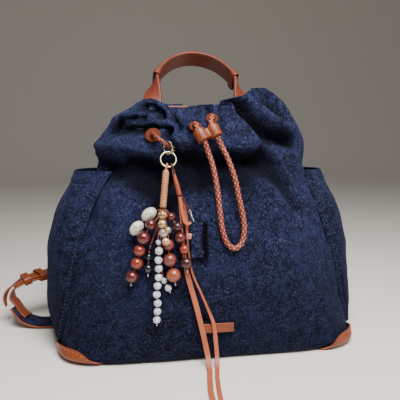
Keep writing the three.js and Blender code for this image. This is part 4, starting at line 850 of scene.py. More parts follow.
def ramp(tree, factor, *stops):
    made = node(tree, "ShaderNodeValToRGB", {"Fac": factor})
    elements = made.color_ramp.elements
    while len(elements) < len(stops):
        elements.new(0.5)
    for element, (position, value) in zip(elements, stops):
        element.position = position
        element.color = (value, value, value, 1) if isinstance(value, (int, float)) else (*value, 1)
    return made.outputs["Color"]


def blend(tree, factor, first, second):
    made = node(tree, "ShaderNodeMix", data_type="RGBA")
    for index, value in ((0, factor), (6, first), (7, second)):
        if isinstance(value, bpy.types.NodeSocket):
            tree.links.new(value, made.inputs[index])
        elif index:
            made.inputs[index].default_value = (*value, 1)
        else:
            made.inputs[index].default_value = value
    return made.outputs[2]


def raised(tree, shader, height, distance, strength=1.0):
    bump = node(tree, "ShaderNodeBump", {"Height": height, "Distance": distance, "Strength": strength})
    tree.links.new(bump.outputs["Normal"], shader.inputs["Normal"])


def sum_of(tree, first, second, share):
    return node(tree, "ShaderNodeMath", {0: second, 1: share, 2: first}, operation="MULTIPLY_ADD").outputs[0]


def cloth_finish(name, deep, lit, fleck):
    """Woolly denim: dark and worn yarns, pale fibres, a soft sheen, and painted shade where the mesh is marked.
    """
    sheen = {"Sheen_Weight": 0.1, "Sheen_Roughness": 0.4, "Specular_IOR_Level": 0.1}
    tree, shader, place = new_finish(name, 0.95, **sheen)
    shader.inputs["Sheen Tint"].default_value = (*colour(110, 125, 185), 1)
    spot = place.outputs["Object"]
    yarn = speckle(tree, spot, 420, 3, 0.75)
    mottle = speckle(tree, spot, 110, 4, 0.65)
    broad = speckle(tree, spot, 17, 3, 0.5)
    mixed = sum_of(tree, yarn, mottle, 0.7)
    base = blend(tree, ramp(tree, mixed, (0.74, 0.0), (1.02, 1.0)), tuple(deep), tuple(lit))
    worn = blend(tree, ramp(tree, broad, (0.35, 0.0), (0.75, 0.4)), base, tuple(lit))
    fibres = speckle(tree, spot, 520, 3, 0.75)
    flecked = blend(tree, ramp(tree, fibres, (0.57, 0.0), (0.72, 0.62)), worn, tuple(fleck))
    # Painted shade: the mesh's mark darkens the colour towards a third of the deep yarn colour.
    painted_shade = node(tree, "ShaderNodeAttribute", attribute_name="strand").outputs["Fac"]
    coloured(tree, shader, blend(tree, painted_shade, flecked, tinted(deep, 0.3)))
    wave = {"Vector": place.outputs["UV"], "Scale": 430, "Distortion": 2.5, "Detail": 1}
    twill = node(tree, "ShaderNodeTexWave", wave, bands_direction="DIAGONAL")
    raised(tree, shader, sum_of(tree, yarn, twill.outputs["Fac"], 0.35), 0.0007, 0.8)


def leather_finish(name, main, dark, roughness=0.45, grain=1.0, gloss=0.4):
    """Smooth leather: pores, a cloudy tone and darker hollows."""
    coat = {"Coat_Weight": gloss * 0.3, "Coat_Roughness": 0.35, "Specular_IOR_Level": gloss}
    tree, shader, place = new_finish(name, roughness, **coat)
    spot = place.outputs["Object"]
    cloud = speckle(tree, spot, 55, 4, 0.6)
    fine = speckle(tree, spot, 420, 3, 0.6)
    tone = blend(tree, ramp(tree, cloud, (0.35, 0.5), (0.7, 0.0)), tuple(main), tuple(dark))
    toned = blend(tree, ramp(tree, fine, (0.3, 0.3), (0.6, 0.0)), tone, tuple(dark))
    coloured(tree, shader, toned)
    pores = node(tree, "ShaderNodeTexVoronoi", {"Vector": spot, "Scale": 1300.0}).outputs["Distance"]
    raised(tree, shader, sum_of(tree, fine, pores, 0.6), 0.0002, 0.6 * grain)
    spread(tree, shader, cloud, roughness - 0.08, roughness + 0.1)


def braid_finish(name, first, second, dark):
    """Braided leather: painted shade between the strands and a painted highlight on their crowns."""
    tree, shader, place = new_finish(name, 0.42, Coat_Weight=0.15, Coat_Roughness=0.3)
    strand = node(tree, "ShaderNodeAttribute", attribute_name="strand").outputs["Fac"]
    fine = speckle(tree, place.outputs["Object"], 500, 3)
    # Painted shade low between the strands, painted highlight on the strand crowns.
    stops = ((0.35, tuple(dark)), (0.62, tuple(first)), (0.8, tuple(first)), (0.97, tuple(second)))
    tone = ramp(tree, strand, *stops)
    toned = blend(tree, ramp(tree, fine, (0.3, 0.3), (0.62, 0.0)), tone, tuple(dark))
    coloured(tree, shader, toned)
    raised(tree, shader, fine, 0.00015, 0.6)


def thread_finish(name, main):
    tree, shader, place = new_finish(name, 0.7, Sheen_Weight=0.2)
    twist = speckle(tree, place.outputs["Object"], 1400, 2)
    coloured(tree, shader, blend(tree, twist, tuple(main), tinted(main, 0.55)))
    raised(tree, shader, twist, 0.0002)


def metal_finish(name, main, roughness):
    """Plated metal with faint wear."""
    tree, shader, place = new_finish(name, roughness, Metallic=1.0)
    wear = speckle(tree, place.outputs["Object"], 260, 4, 0.7)
    worn = ramp(tree, wear, (0.4, 0.0), (0.75, 0.35))
    coloured(tree, shader, blend(tree, worn, tuple(main), colour(150, 128, 96)))
    spread(tree, shader, wear, roughness - 0.08, roughness + 0.12)
    raised(tree, shader, wear, 0.00005, 0.4)


def wood_bead_finish(name, main, gloss=0.28):
    """Lacquered wood: a grain that runs round the bead under a clear coat."""
    tree, shader, place = new_finish(name, gloss, Coat_Weight=0.6, Coat_Roughness=0.12)
    stretch = {"Vector": place.outputs["Object"], "Scale": (1.0, 1.0, 4.0)}
    grain = speckle(tree, node(tree, "ShaderNodeMapping", stretch).outputs["Vector"], 240, 4, 0.65, 1.2)
    pale = tuple(min(1, part * 1.7 + 0.012) for part in main)
    coloured(tree, shader, ramp(tree, grain, (0.3, tinted(main, 0.45)), (0.52, tuple(main)), (0.75, pale)))
    raised(tree, shader, grain, 0.0001, 0.5)


def stone_bead_finish(name, main, vein, scale, width):
    """Pale stone with thin dark veins."""
    tree, shader, place = new_finish(name, 0.3, Coat_Weight=0.4, Coat_Roughness=0.15)
    lines = speckle(tree, place.outputs["Object"], scale, 4, 0.6, 1.6)
    stops = ((0.44 - width, tuple(main)), (0.47, vein), (0.5 + width, tuple(main)))
    cloud = speckle(tree, place.outputs["Object"], scale * 0.4, 2)
    clouded = ramp(tree, cloud, (0.4, 0.0), (0.8, 0.15))
    coloured(tree, shader, blend(tree, clouded, ramp(tree, lines, *stops), vein))


def painted_bead_finish(name, tones, scale, metallic=0.0):
    """A bead with a small painted or foiled pattern."""
    tree, shader, place = new_finish(name, 0.22, Coat_Weight=0.7, Coat_Roughness=0.08, Metallic=metallic)
    cells = node(tree, "ShaderNodeTexVoronoi", {"Vector": place.outputs["Object"], "Scale": scale})
    key = node(tree, "ShaderNodeSeparateColor", {"Color": cells.outputs["Color"]}).outputs[0]
    stops = [(index / len(tones), tone) for index, tone in enumerate(tones)]
    pattern = ramp(tree, key, *stops)
    edge = ramp(tree, cells.outputs["Distance"], (0.35, 0.0), (0.62, 0.7))
    coloured(tree, shader, blend(tree, edge, pattern, colour(70, 40, 28)))
    raised(tree, shader, cells.outputs["Distance"], 0.0003, 0.5)


class BACKPACK_OT_finishes(bpy.types.Operator):
    """Make the cloth, leather, thread, metal and bead materials"""

    bl_idname = "backpack.finishes"
    bl_label = "Finishes"

    def execute(self, context):
        settings = context.scene
        cloth, leather, charm = settings.backpack_cloth, settings.backpack_leather, settings.backpack_charm
        cloth_finish("woolly_denim", cloth.deep, cloth.lit, cloth.fleck)
        cloth_finish("lining", cloth.lining, tinted(cloth.lining, 1.6), cloth.lining)
        cloth_finish("fringe", tinted(cloth.deep, 0.5), cloth.deep, cloth.lit)
        leather_finish("tan_leather", leather.tan, leather.dark)
        leather_finish("dark_leather", leather.dark, tinted(leather.dark, 0.4))
        handled = [part * share for part, share in zip(leather.tan, (0.7, 0.6, 0.8))]
        leather_finish("handle_leather", handled, leather.dark, 0.5)
        leather_finish("eyelet_leather", tinted(leather.tan, 0.45), leather.dark, 0.7, 1.0, 0.06)
        leather_finish("lace_leather", leather.lace, leather.tan, 0.5)
        leather_finish("stem_leather", colour(196, 136, 96), colour(120, 74, 48), 0.55)
        leather_finish("tag_leather", colour(206, 142, 128), colour(150, 84, 74), 0.5)
        braid_finish("braided_leather", leather.braid, leather.braid_highlight, leather.dark)
        # The side braid's painted shade, its colour and its painted highlight.
        braid_finish("side_braid", colour(120, 52, 42), colour(160, 84, 70), colour(60, 26, 22))
        thread_finish("thread", leather.thread)
        thread_finish("dark_thread", colour(104, 52, 36))
        thread_finish("navy_thread", colour(24, 29, 54))
        metal_finish("pale_gold", charm.metal, 0.24)
        metal_finish("silver", colour(205, 205, 210), 0.2)
        wood_bead_finish("bead_red", charm.red)
        wood_bead_finish("bead_orange", charm.orange)
        wood_bead_finish("bead_dark", charm.dark)
        wood_bead_finish("bead_pink", charm.pink, 0.38)
        wood_bead_finish("bead_amber", charm.amber, 0.36)
        wood_bead_finish("bead_black", colour(24, 26, 30), 0.12)
        stone_bead_finish("bead_white", charm.white, colour(120, 124, 140), 210, 0.03)
        stone_bead_finish("bead_speckled", charm.cream, colour(128, 112, 84), 330, 0.05)
        gold = (colour(214, 160, 80), colour(240, 214, 160), colour(150, 92, 44), colour(226, 184, 110))
        rose = (colour(190, 150, 140), colour(230, 214, 206), colour(130, 70, 66), colour(206, 176, 150))
        flowers = (colour(236, 220, 180), colour(168, 44, 38), colour(222, 168, 70), colour(240, 230, 205))
        painted_bead_finish("bead_gold", gold, 420, 0.35)
        painted_bead_finish("bead_rose", rose, 460)
        painted_bead_finish("bead_painted", flowers, 480)
        return {"FINISHED"}


# Stage
class BACKPACK_OT_stage(bpy.types.Operator):
    """Make the floor, the soft lights and the camera at the photograph's angle"""

    bl_idname = "backpack.stage"
    bl_label = "Stage"

    def execute(self, context):
        stage = context.scene.backpack_stage

        def cove(u, v):
            run = v * FLOOR_LENGTH - FLOOR_FRONT
            bend = np.clip((run - COVE_START) / COVE_RADIUS, 0, math.pi / 2)
            rise = np.maximum(run - COVE_START - COVE_RADIUS * math.pi / 2, 0)
            x = mix(-FLOOR_HALF_WIDTH, FLOOR_HALF_WIDTH, u)
            y = np.minimum(run, COVE_START) + COVE_RADIUS * np.sin(bend)
            return np.stack([x, y, COVE_RADIUS * (1 - np.cos(bend)) + rise], axis=-1)

        floor_shape = bent_grid(2, 60, cove)
        floor_mesh = bpy.data.meshes.new("floor")
        floor_shape.to_mesh(floor_mesh)
        floor_shape.free()
        tree, shader, place = new_finish("floor", 0.6, Specular_IOR_Level=0.2)
        tone = speckle(tree, place.outputs["Object"], 6, 2)
        coloured(tree, shader, blend(tree, tone, tuple(stage.floor), tinted(stage.floor, 1.03)))
        floor_mesh.materials.append(bpy.data.materials["floor"])
        floor_mesh.shade_smooth()
        floor = bpy.data.objects.new("floor", floor_mesh)
        context.scene.collection.objects.link(floor)
        world = bpy.data.worlds.new("studio")
        world.use_nodes = True
        background = world.node_tree.nodes["Background"]
        background.inputs["Color"].default_value = SURROUND_COLOUR
        background.inputs["Strength"].default_value = SURROUND_STRENGTH
        context.scene.world = world
        self.add_light(context, "key_light", KEY_PLACE, KEY_TOWARDS, stage.key, KEY_SIZE)
        self.add_light(context, "fill_light", FILL_PLACE, FILL_TOWARDS, stage.fill, FILL_SIZE)
        data = bpy.data.cameras.new("photo_camera")
        data.lens = stage.lens
        data.sensor_width = CAMERA_SENSOR
        camera = bpy.data.objects.new("photo_camera", data)
        camera.location = CAMERA_PLACE
        camera.rotation_euler = tuple(math.radians(turn) for turn in CAMERA_TURN)
        context.scene.collection.objects.link(camera)
        context.scene.camera = camera
        return {"FINISHED"}

    def add_light(self, context, name, place, towards, power, size):
        data = bpy.data.lights.new(name, "AREA")
        data.energy = power
        data.size = size
        light = bpy.data.objects.new(name, data)
        light.location = place
        light.rotation_euler = (Vector(towards) - Vector(place)).to_track_quat("-Z", "Y").to_euler()
        context.scene.collection.objects.link(light)


# Cords
def eyelet_seat(node_name):
    """Centre and outward direction of a flat round CAD node, in millimetres."""
    points = np.array([vertex.co[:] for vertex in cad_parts[node_name].data.vertices]) / MM
    points = np.unique(np.round(points, 3), axis=0)
    centre = points.mean(axis=0)
    axis = np.linalg.eigh(np.cov((points - centre).T))[1][:, 0]
    return centre, axis if axis[1] < 0 else -axis


def exit_points(node_name):
    """Where a cord leaves its eyelet, square to the cloth."""
    centre, axis = eyelet_seat(node_name)
    return [tuple(centre + axis * (away - 0.9)) for away in (0, CORD_EXIT)]


def braided(points, radius, strands, lead=0.72, sides=32):
    """A round braid: two sets of strands wind opposite ways and pass over and under each other."""
    length = length_of(points)
    steps = int(length * 2.6)
    frames = round_frames(points, steps)
    period = math.tau * radius / strands / lead
    column, row = np.meshgrid(np.arange(sides), np.arange(steps + 1))
    turn, wound = strands * column / sides, length * row / steps / period
    first, second = turn + wound, turn - wound
    over = (np.floor(first) + np.floor(second)) % 2 == 0
    across = np.where(over, first, second) % 1
    other = np.where(over, second, first) % 1
    height = np.sqrt(1 - (2 * across - 1) ** 2) * (0.6 + 0.4 * np.sin(math.pi * other))
    reach = radius * (0.74 + 0.28 * height)
    angle = math.tau * column / sides
    outline = np.stack([reach * np.cos(angle), reach * np.sin(angle)], axis=-1)

    # The strand's height, which the braid finish turns into painted shade and painted highlight.
    def strand_shading(u, v):
        return height[np.rint(v * steps).astype(int), np.rint(u * sides).astype(int) % sides]

    return swept(frames, outline, map_size=(math.tau * radius * MM, length * MM), mark=strand_shading)


class BACKPACK_OT_cords(bpy.types.Operator):
    """Make the braided drawcord and the short cord that carries the charm"""

    bl_idname = "backpack.cords"
    bl_label = "Cords"

    def execute(self, context):
        cords = context.scene.backpack_cords
        route = [*exit_points("eyelet_centre_left"), *DRAWCORD, *exit_points("eyelet_centre_right")[::-1]]
        drawcord = finished(
            braided(route, cords.drawcord / MM, cords.strands),
            "drawcord_braid", ["braided_leather"], ["drawcord"],
        )
        line, _ = even_line(route, 120)
        length_of(route) * MM
        side_route = [*exit_points("eyelet_side"), *SIDE_CORD]
        side = braided(side_route, cords.side_cord / MM, 3, 0.8, 30)
        ball(side, SIDE_CORD[-1], cords.side_cord / MM * 1.1)
        finished(side, "side_cord_braid", ["side_braid"], ["side_cord"])
        return {"FINISHED"}


class BACKPACK_OT_laces(bpy.types.Operator):
    """Make the two long flat laces and the short ones at the sleeve"""

    bl_idname = "backpack.laces"
    bl_label = "Laces"

    def execute(self, context):
        cords = context.scene.backpack_cords
        for name, rows, width in (
            ("lace_wide", WIDE_LACE, cords.wide_lace), ("lace_narrow", NARROW_LACE, cords.narrow_lace),
        ):
            points = [at for at, _ in rows]
            length = length_of(points)
            outline = strip_outline(width / MM, cords.lace_leather / MM)
            lace = swept(strip_frames(rows, 150), outline, map_size=(width, length * MM))
            piece = finished(lace, f"{name}_leather", ["lace_leather"], [name])
            line, _ = even_line(points, 60)
        thin = swept(strip_frames(THIN_LACE, 24), strip_outline(1.2, 0.9))
        aside = [((x + 1.5, y + 0.3, z), across) for (x, y, z), across in THIN_LACE]
        second = swept(strip_frames(aside, 24), strip_outline(1.1, 0.9))
        looped = swept(strip_frames(LOOPED_LACE, 60), strip_outline(2.8, 1.0))
        shape = gathered(painted(looped, 0), painted(thin, 1), painted(second, 1))
        finished(shape, "lace_short_leather", ["lace_leather", "dark_leather"], ["lace_thin"])
        return {"FINISHED"}


# Bag
def small_gathers():
    """Seeded small pleats round the mouth."""
    chance = random.Random(11)
    folds = []
    turn = -0.5
    while turn < 0.5:
        slant = chance.uniform(-0.012, 0.012)
        foot, width, depth = (chance.uniform(*limits) for limits in ((0.87, 0.95), (0.25, 0.45), (0.4, 1)))
        folds.append(Fold(turn, 1, turn + slant, foot, width, depth))
        turn += chance.uniform(0.014, 0.026)
    return folds


def shade_towards_base(up):
    """Painted shade on the cloth, which grows towards the base."""
    return 0.06 + 0.5 * eased((0.62 - up) / 0.62)


def crumpled(points, depth):
    """Inward hollows of a crumpled cloth at each point."""
    hollows = []
    for x, y, z in points.tolist():
        broad = noise.noise(Vector((x, y, z)) * 0.028)
        fine = noise.noise(Vector((x, y, z)) * 0.085 + Vector((7, 3, 5)))
        hollows.append(0.7 * broad + 0.3 * fine)
    return depth * np.clip(0.5 + np.array(hollows), 0, 1)


class BACKPACK_OT_bag(bpy.types.Operator):
    """Make the gathered cloth bag with its hem and lining"""

    bl_idname = "backpack.bag"
    bl_label = "Bag"

    COLUMNS, ROWS = 380, 232
    # Shares of the rows at which the base ends, the rim is reached, the hem turns in and the
    # lining's base starts.
    BASE, RIM_SHARE, HEM, LINING = 0.05, 0.72, 0.76, 0.95

    def execute(self, context):
        cloth = context.scene.backpack_cloth
        pleat = cloth.pleat / MM / FOLD_DEPTH
        gathers = [fold._replace(depth=fold.depth * pleat) for fold in small_gathers()]

        def place(u, v):
            turn = u - 0.5
            outside = (v - self.BASE) / (self.RIM_SHARE - self.BASE)
            hem = np.clip((v - self.RIM_SHARE) / (self.HEM - self.RIM_SHARE), 0, 1)
            inside = (v - self.HEM) / (self.LINING - self.HEM)
            base = np.clip(v / self.BASE, 0, 1)
            lining_base = np.clip((1 - v) / (1 - self.LINING), 0, 1)
            up = np.where(v < self.HEM, np.clip(outside, 0, 1), np.clip(1 - inside, 0.014, 1))
            depth = fold_depth(turn, up, gathers) + crease_depth(turn, up)
            outer = body_point(turn, up)
            depth = depth + crumpled(outer, cloth.crumple / MM) * eased(up / 0.04)
            inward = np.where(v < self.RIM_SHARE, 0, BODY_WALL * hem)
            points = body_point(turn, up, -depth - inward)
            points[:, 2] += 1.4 * np.sin(math.pi * hem) * (v < self.HEM)
            points[:, 2] += 1.5 * (v > self.HEM) * (up < 0.03)
            points[:, :2] *= np.where(v < self.BASE, base, np.where(v > self.LINING, lining_base, 1))[:, None]
            return points

        # Painted shade: darker in deep folds and towards the base, none above the rim.
        def painted_shade(u, v):
            turn = u - 0.5
            up = np.clip((v - self.BASE) / (self.RIM_SHARE - self.BASE), 0, 1)
            depth = crease_depth(turn, up) + fold_depth(turn, up, FOLDS) + 0.5 * fold_depth(turn, up, gathers)
            fold_shade = np.clip((depth - SHADE_FROM) / SHADE_RANGE, 0, SHADE_MOST)
            return np.where(v < self.RIM_SHARE, np.maximum(fold_shade, shade_towards_base(up)), 0)

        shape = welded(bent_grid(self.COLUMNS, self.ROWS, place, (0.69, 0.5), painted_shade), 0.002)
        layer = shape.loops.layers.uv.active
        for face in shape.faces:
            middle = sum(loop[layer].uv.y for loop in face.loops) / len(face.loops) / 0.5
            face.material_index = int(middle > self.HEM + 0.03)
        finished(shape, "bag_cloth", ["woolly_denim", "lining"], ["bag_body"], sharp=75)
        return {"FINISHED"}


class BACKPACK_OT_pockets(bpy.types.Operator):
    """Make the two side pockets with their hems and seams"""

    bl_idname = "backpack.pockets"
    bl_label = "Side pockets"

    def execute(self, context):
        for name, side in (("left", -1), ("right", 1)):
            def place(u, v, lift=0.0):
                turn = side * mix(POCKET_FRONT_TURN, POCKET_BACK_TURN, u if side > 0 else 1 - u)
                arch = np.sin(math.pi * np.clip(u, 0, 1)) ** 0.6
                bulge = smooth_row(POCKET_ROWS, "up", "bulge", v)
                hem = 1.1 * eased((v - 0.925) / 0.012)
                sag = 1.2 * np.sin(9 * u + 14 * v) * np.sin(5.3 * v + 2) * arch
                tuck = eased(np.minimum(u, 1 - u) / 0.05)
                full = CLOTH_GAP + POCKET_WALL + bulge * arch * POCKET_BULGE + hem - np.abs(sag)
                outward = tuck * full + lift - 0.8 * (1 - tuck)
                return body_point(turn, mix(POCKET_FOOT, POCKET_HEIGHT, v) / BAG_HEIGHT, outward)

            # Painted shade on the pocket, growing towards the base.
            def pocket_shade(u, v):
                return 0.1 + shade_towards_base(v * POCKET_HEIGHT / BAG_HEIGHT)

            sheet = bent_grid(76, 110, place, (0.1, 0.18), pocket_shade)
            bmesh.ops.recalc_face_normals(sheet, faces=sheet.faces)
            pocket = thickened(sheet, POCKET_WALL * 0.95)
            replaced = [f"side_pocket_{name}"]
            finished(pocket, f"pocket_{name}_cloth", ["woolly_denim"], replaced, sharp=60)
            hem_seam = [(share, 0.915) for share in np.linspace(0.04, 0.96, 30)]
            seams = surface_stitches(bmesh.new(), place, hem_seam)
            for edge in (0.025, 0.975):
                surface_stitches(seams, place, [(edge, share) for share in np.linspace(0.03, 0.97, 44)])
            sewn_piece(seams, f"pocket_{name}", "navy_thread")
        return {"FINISHED"}


class BACKPACK_OT_trim(bpy.types.Operator):
    """Make the leather corner patches and the plain leather bar on the front"""

    bl_idname = "backpack.trim"
    bl_label = "Leather trim"

    def execute(self, context):
        stitches = bmesh.new()
        for patch in PATCHES:
            self.add_patch(patch, stitches)
        self.add_label(stitches)
        sewn_piece(stitches, "trim")
        return {"FINISHED"}

    def add_patch(self, patch, stitches):
        sign, corner = math.copysign(1, patch.turn), abs(patch.turn)
        towards_side = 1 if corner < 0.25 else -1
        low = corner - (patch.front if towards_side > 0 else patch.side)
        high = corner + (patch.side if towards_side > 0 else patch.front)

        def place(u, v, lift=0.0):
            turn = mix(low, high, u if sign > 0 else 1 - u)
            away = (turn - corner) * towards_side
            reach = np.where(away > 0, away / patch.side, -away / patch.front)
            top = np.maximum(PATCH_HEIGHT * (1 - 0.96 * np.abs(reach) ** 2.2), 1.6)
            up = mix(1.05, top, v) / BAG_HEIGHT
            return body_point(sign * turn, up, 1.3 * CLOTH_GAP + PATCH_LEATHER + lift)

        sheet = bent_grid(44, 12, place, (0.06, 0.016))
        bmesh.ops.recalc_face_normals(sheet, faces=sheet.faces)
        leather_piece(thickened(sheet, PATCH_LEATHER, 0.4), patch.name)
        surface_stitches(stitches, place, [(share, 0.84) for share in np.linspace(0.1, 0.9, 15)], 2.2)

    def add_label(self, stitches):
        levels = np.linspace(0, 1, 7)
        turns = np.linspace(-0.06, 0.06, 400)
        heights = (LABEL_LEVEL + (levels - 0.5) * LABEL_HEIGHT) / BAG_HEIGHT
        spots = np.linspace(-0.5, 0.5, 41) * LABEL_WIDTH
        rows = [body_point(turns, np.full_like(turns, up))[:, 0] for up in heights]
        table = np.array([np.interp(spots, row, turns) for row in rows])

        def place(u, v, lift=0.0):
            row = np.clip(v * (len(levels) - 1), 0, len(levels) - 1)
            column = np.clip(u * 40, 0, 40)
            turn = table[np.rint(row).astype(int), np.rint(column).astype(int)]
            return body_point(turn, heights[np.rint(row).astype(int)], CLOTH_GAP + LABEL_LEATHER + lift)

        sheet = bent_grid(40, 6, place, (0.032, 0.0095))
        bmesh.ops.recalc_face_normals(sheet, faces=sheet.faces)
        leather_piece(thickened(sheet, LABEL_LEATHER, 0.5), "label_bar")


# Yoke and handle
def handle_rows():
    lean = math.radians(HANDLE_LEAN)
    middle = YOKE_BACK + SEAT_GAP + HANDLE_THICKNESS / 2
    base = YOKE_TOP + 4
    leaning = (0, math.cos(lean), -math.sin(lean))
    half = (-0.5, 0.5 * leaning[1], 0.5 * leaning[2])
    levels = ((SEAT_GAP, HANDLE_FOOT), (SEAT_GAP, mix(HANDLE_FOOT, base, 0.4)), (4 * SEAT_GAP, base - 10))
    left = [((HANDLE_SHIFT - HANDLE_HALF_SPAN, middle + off, level), (-1, 0, 0)) for off, level in levels]
    right = [((HANDLE_SHIFT + HANDLE_HALF_SPAN, middle + off, level), (1, 0, 0)) for off, level in levels]
    arch = []
    for step in range(1, 12):
        angle = math.pi * (1 - step / 12)
        rise = HANDLE_RISE * math.sin(angle) ** 0.9
        across = HANDLE_SHIFT + HANDLE_HALF_SPAN * math.cos(angle)
        at = (across, middle + rise * math.sin(lean), base + rise * math.cos(lean))
        arch.append((at, half if step == 1 else (0.5, half[1], half[2]) if step == 11 else leaning))
    return left + arch + right[::-1]


def keeper(frames, index, width, thickness, lift=0.0):
    """A closed leather band round a strap, between one frame and the next of the CAD."""
    scale = (len(frames.point) - 1) // (BELT_STEPS if width < HANDLE_WIDTH else HANDLE_STEPS)
    first, last = index * scale, (index + 1) * scale
    middle = (first + last) // 2
    band = np.linalg.norm(frames.point[last] - frames.point[first])
    room = 2 * KEEPER_GAP + KEEPER_LEATHER
    around = np.array(strip_outline(width + room, thickness + room, 2.6))
    tangent = unit(np.roll(around, -1, axis=0) - np.roll(around, 1, axis=0))
    normal = np.stack([tangent[:, 1], -tangent[:, 0]], axis=1)
    section = np.array(strip_outline(band, KEEPER_LEATHER * 0.98, 0.5))

    def place(u, v):
        spot = np.rint(u * len(around)).astype(int) % len(around)
        corner = np.rint(v * len(section)).astype(int) % len(section)
        offset = around[spot] + normal[spot] * section[corner, 1:]
        return (
            frames.point[middle] + frames.along[middle] * section[corner, :1]
            + frames.across[middle] * offset[:, :1] + frames.face[middle] * (offset[:, 1:] + lift)
        )

    return welded(bent_grid(len(around), len(section), place))


def stud_shape(frames, index, lift, radius=3.0, height=3.0):
    """A small screwed stud: a neck and a domed head."""
    head = ((0.92, 0.5), (1, 0.62), (0.9, 0.82), (0.6, 0.96), (0, 1))
    section = [(0, 0), (1.9, 0), (1.5, height * 0.5), *((radius * out, height * up) for out, up in head)]
    foot = frames.point[index] + frames.face[index] * (lift + CLOTH_GAP * 0.5)
    return turned(section, standing(foot, frames.face[index]), 24)


class BACKPACK_OT_handle(bpy.types.Operator):
    """Make the leather yoke and the carry handle with its keepers, studs and stitching"""

    bl_idname = "backpack.handle"
    bl_label = "Yoke and handle"

    def execute(self, context):
        frames = strip_frames(handle_rows(), HANDLE_STEPS * 6)
        outline = strip_outline(HANDLE_WIDTH, HANDLE_THICKNESS, 1.6, 0.25)
        band = swept(frames, outline, map_size=(0.06, 0.3))
        leather_piece(band, "handle", "handle_leather")
        stitches = bmesh.new()
        for aside in (-1, 1):
            for lift in (-1, 1):
                across, up = aside * (HANDLE_WIDTH / 2 - HANDLE_SEAM), lift * (HANDLE_THICKNESS / 2 + 0.1)
                stitch_row(stitches, frames, across, up)
        sewn_piece(stitches, "handle", "dark_thread")
        for name, index in (("left", 8), ("right", 23)):
            band = keeper(frames, index, HANDLE_WIDTH, HANDLE_THICKNESS)
            leather_piece(band, f"handle_keeper_{name}", "handle_leather")
        for name, index in (("left", 10), ("right", 22)):
            knob = stud_shape(frames, index * 6, HANDLE_THICKNESS / 2)
            metal_piece(knob, f"handle_stud_{name}", "dark_leather")
        self.add_yoke()
        return {"FINISHED"}

    def add_yoke(self):
        shape = bmesh.new()
        radius = YOKE_CORNER
        corners = []
        half, high, low = YOKE_WIDTH / 2 - radius, YOKE_TOP - radius, YOKE_FOOT + radius
        spots = ((half, high), (-half, high), (-half, low), (half, low))
        for turn, (x, z) in enumerate(spots):
            for step in range(7):
                angle = (turn + step / 6) * math.pi / 2
                across = HANDLE_SHIFT + x + radius * math.cos(angle)
                corners.append((across, YOKE_FRONT, z + radius * math.sin(angle)))
        face = shape.faces.new([shape.verts.new(corner) for corner in corners])
        side = bmesh.ops.extrude_face_region(shape, geom=[face])["geom"]
        moved = [item for item in side if isinstance(item, bmesh.types.BMVert)]
        bmesh.ops.translate(shape, vec=(0, YOKE_LEATHER, 0), verts=moved)
        rims = [edge for edge in shape.edges if edge.calc_face_angle(0) > 1]
        softened(shape, rims, 0.7)
        bmesh.ops.recalc_face_normals(shape, faces=shape.faces)
        leather_piece(shape, "yoke", sharp=50)
        line = np.array([
            (x * 0.965 + HANDLE_SHIFT * 0.035, YOKE_BACK + 0.1, mix(YOKE_FOOT + 22.5, z, 0.9))
            for x, _, z in corners + corners[:1]
        ])
        reach = reach_along(line)
        wanted = np.arange(0, reach[-1], YOKE_STITCH_STEP)
        along = unit(picked(np.gradient(line, axis=0), reach, wanted))
        normals = np.tile((0.0, 1.0, 0.0), (len(wanted), 1))
        sewn = add_stitches(bmesh.new(), picked(line, reach, wanted), along, normals, 2.7)
        sewn_piece(sewn, "yoke")


# Straps
def strap_frames(side):
    """Frames of the pad, the sewn end and the belt of one strap."""
    tables = {"left": (LEFT_PAD, LEFT_END, LEFT_BELT), "right": (RIGHT_PAD, RIGHT_END, RIGHT_BELT)}
    pad_rows, end_rows, belt_rows = tables[side]
    pad_y = YOKE_BACK + SEAT_GAP + STRAP_THICKNESS / 2
    pad = strip_frames([((x, y + pad_y, z), across) for (x, y, z), across in pad_rows], 120)
    end = strip_frames(end_rows, 60)
    inside = -((STRAP_THICKNESS + BELT_THICKNESS) / 2 + SEAT_GAP)
    sewn = [(tuple(end.point[row] + end.face[row] * inside), tuple(end.across[row])) for row in (42, 48, 60)]
    turned_over = np.sign(pad.across[-1].dot(np.array(belt_rows[-1][1], float)))
    joint = [
        (tuple(pad.point[-1] + pad.along[-1] * away), tuple(pad.across[-1] * turned_over))
        for away in (PAD_LEAD, SEAT_GAP)
    ]
    return pad, end, strip_frames([*sewn, *belt_rows, *joint], BELT_STEPS * 8)


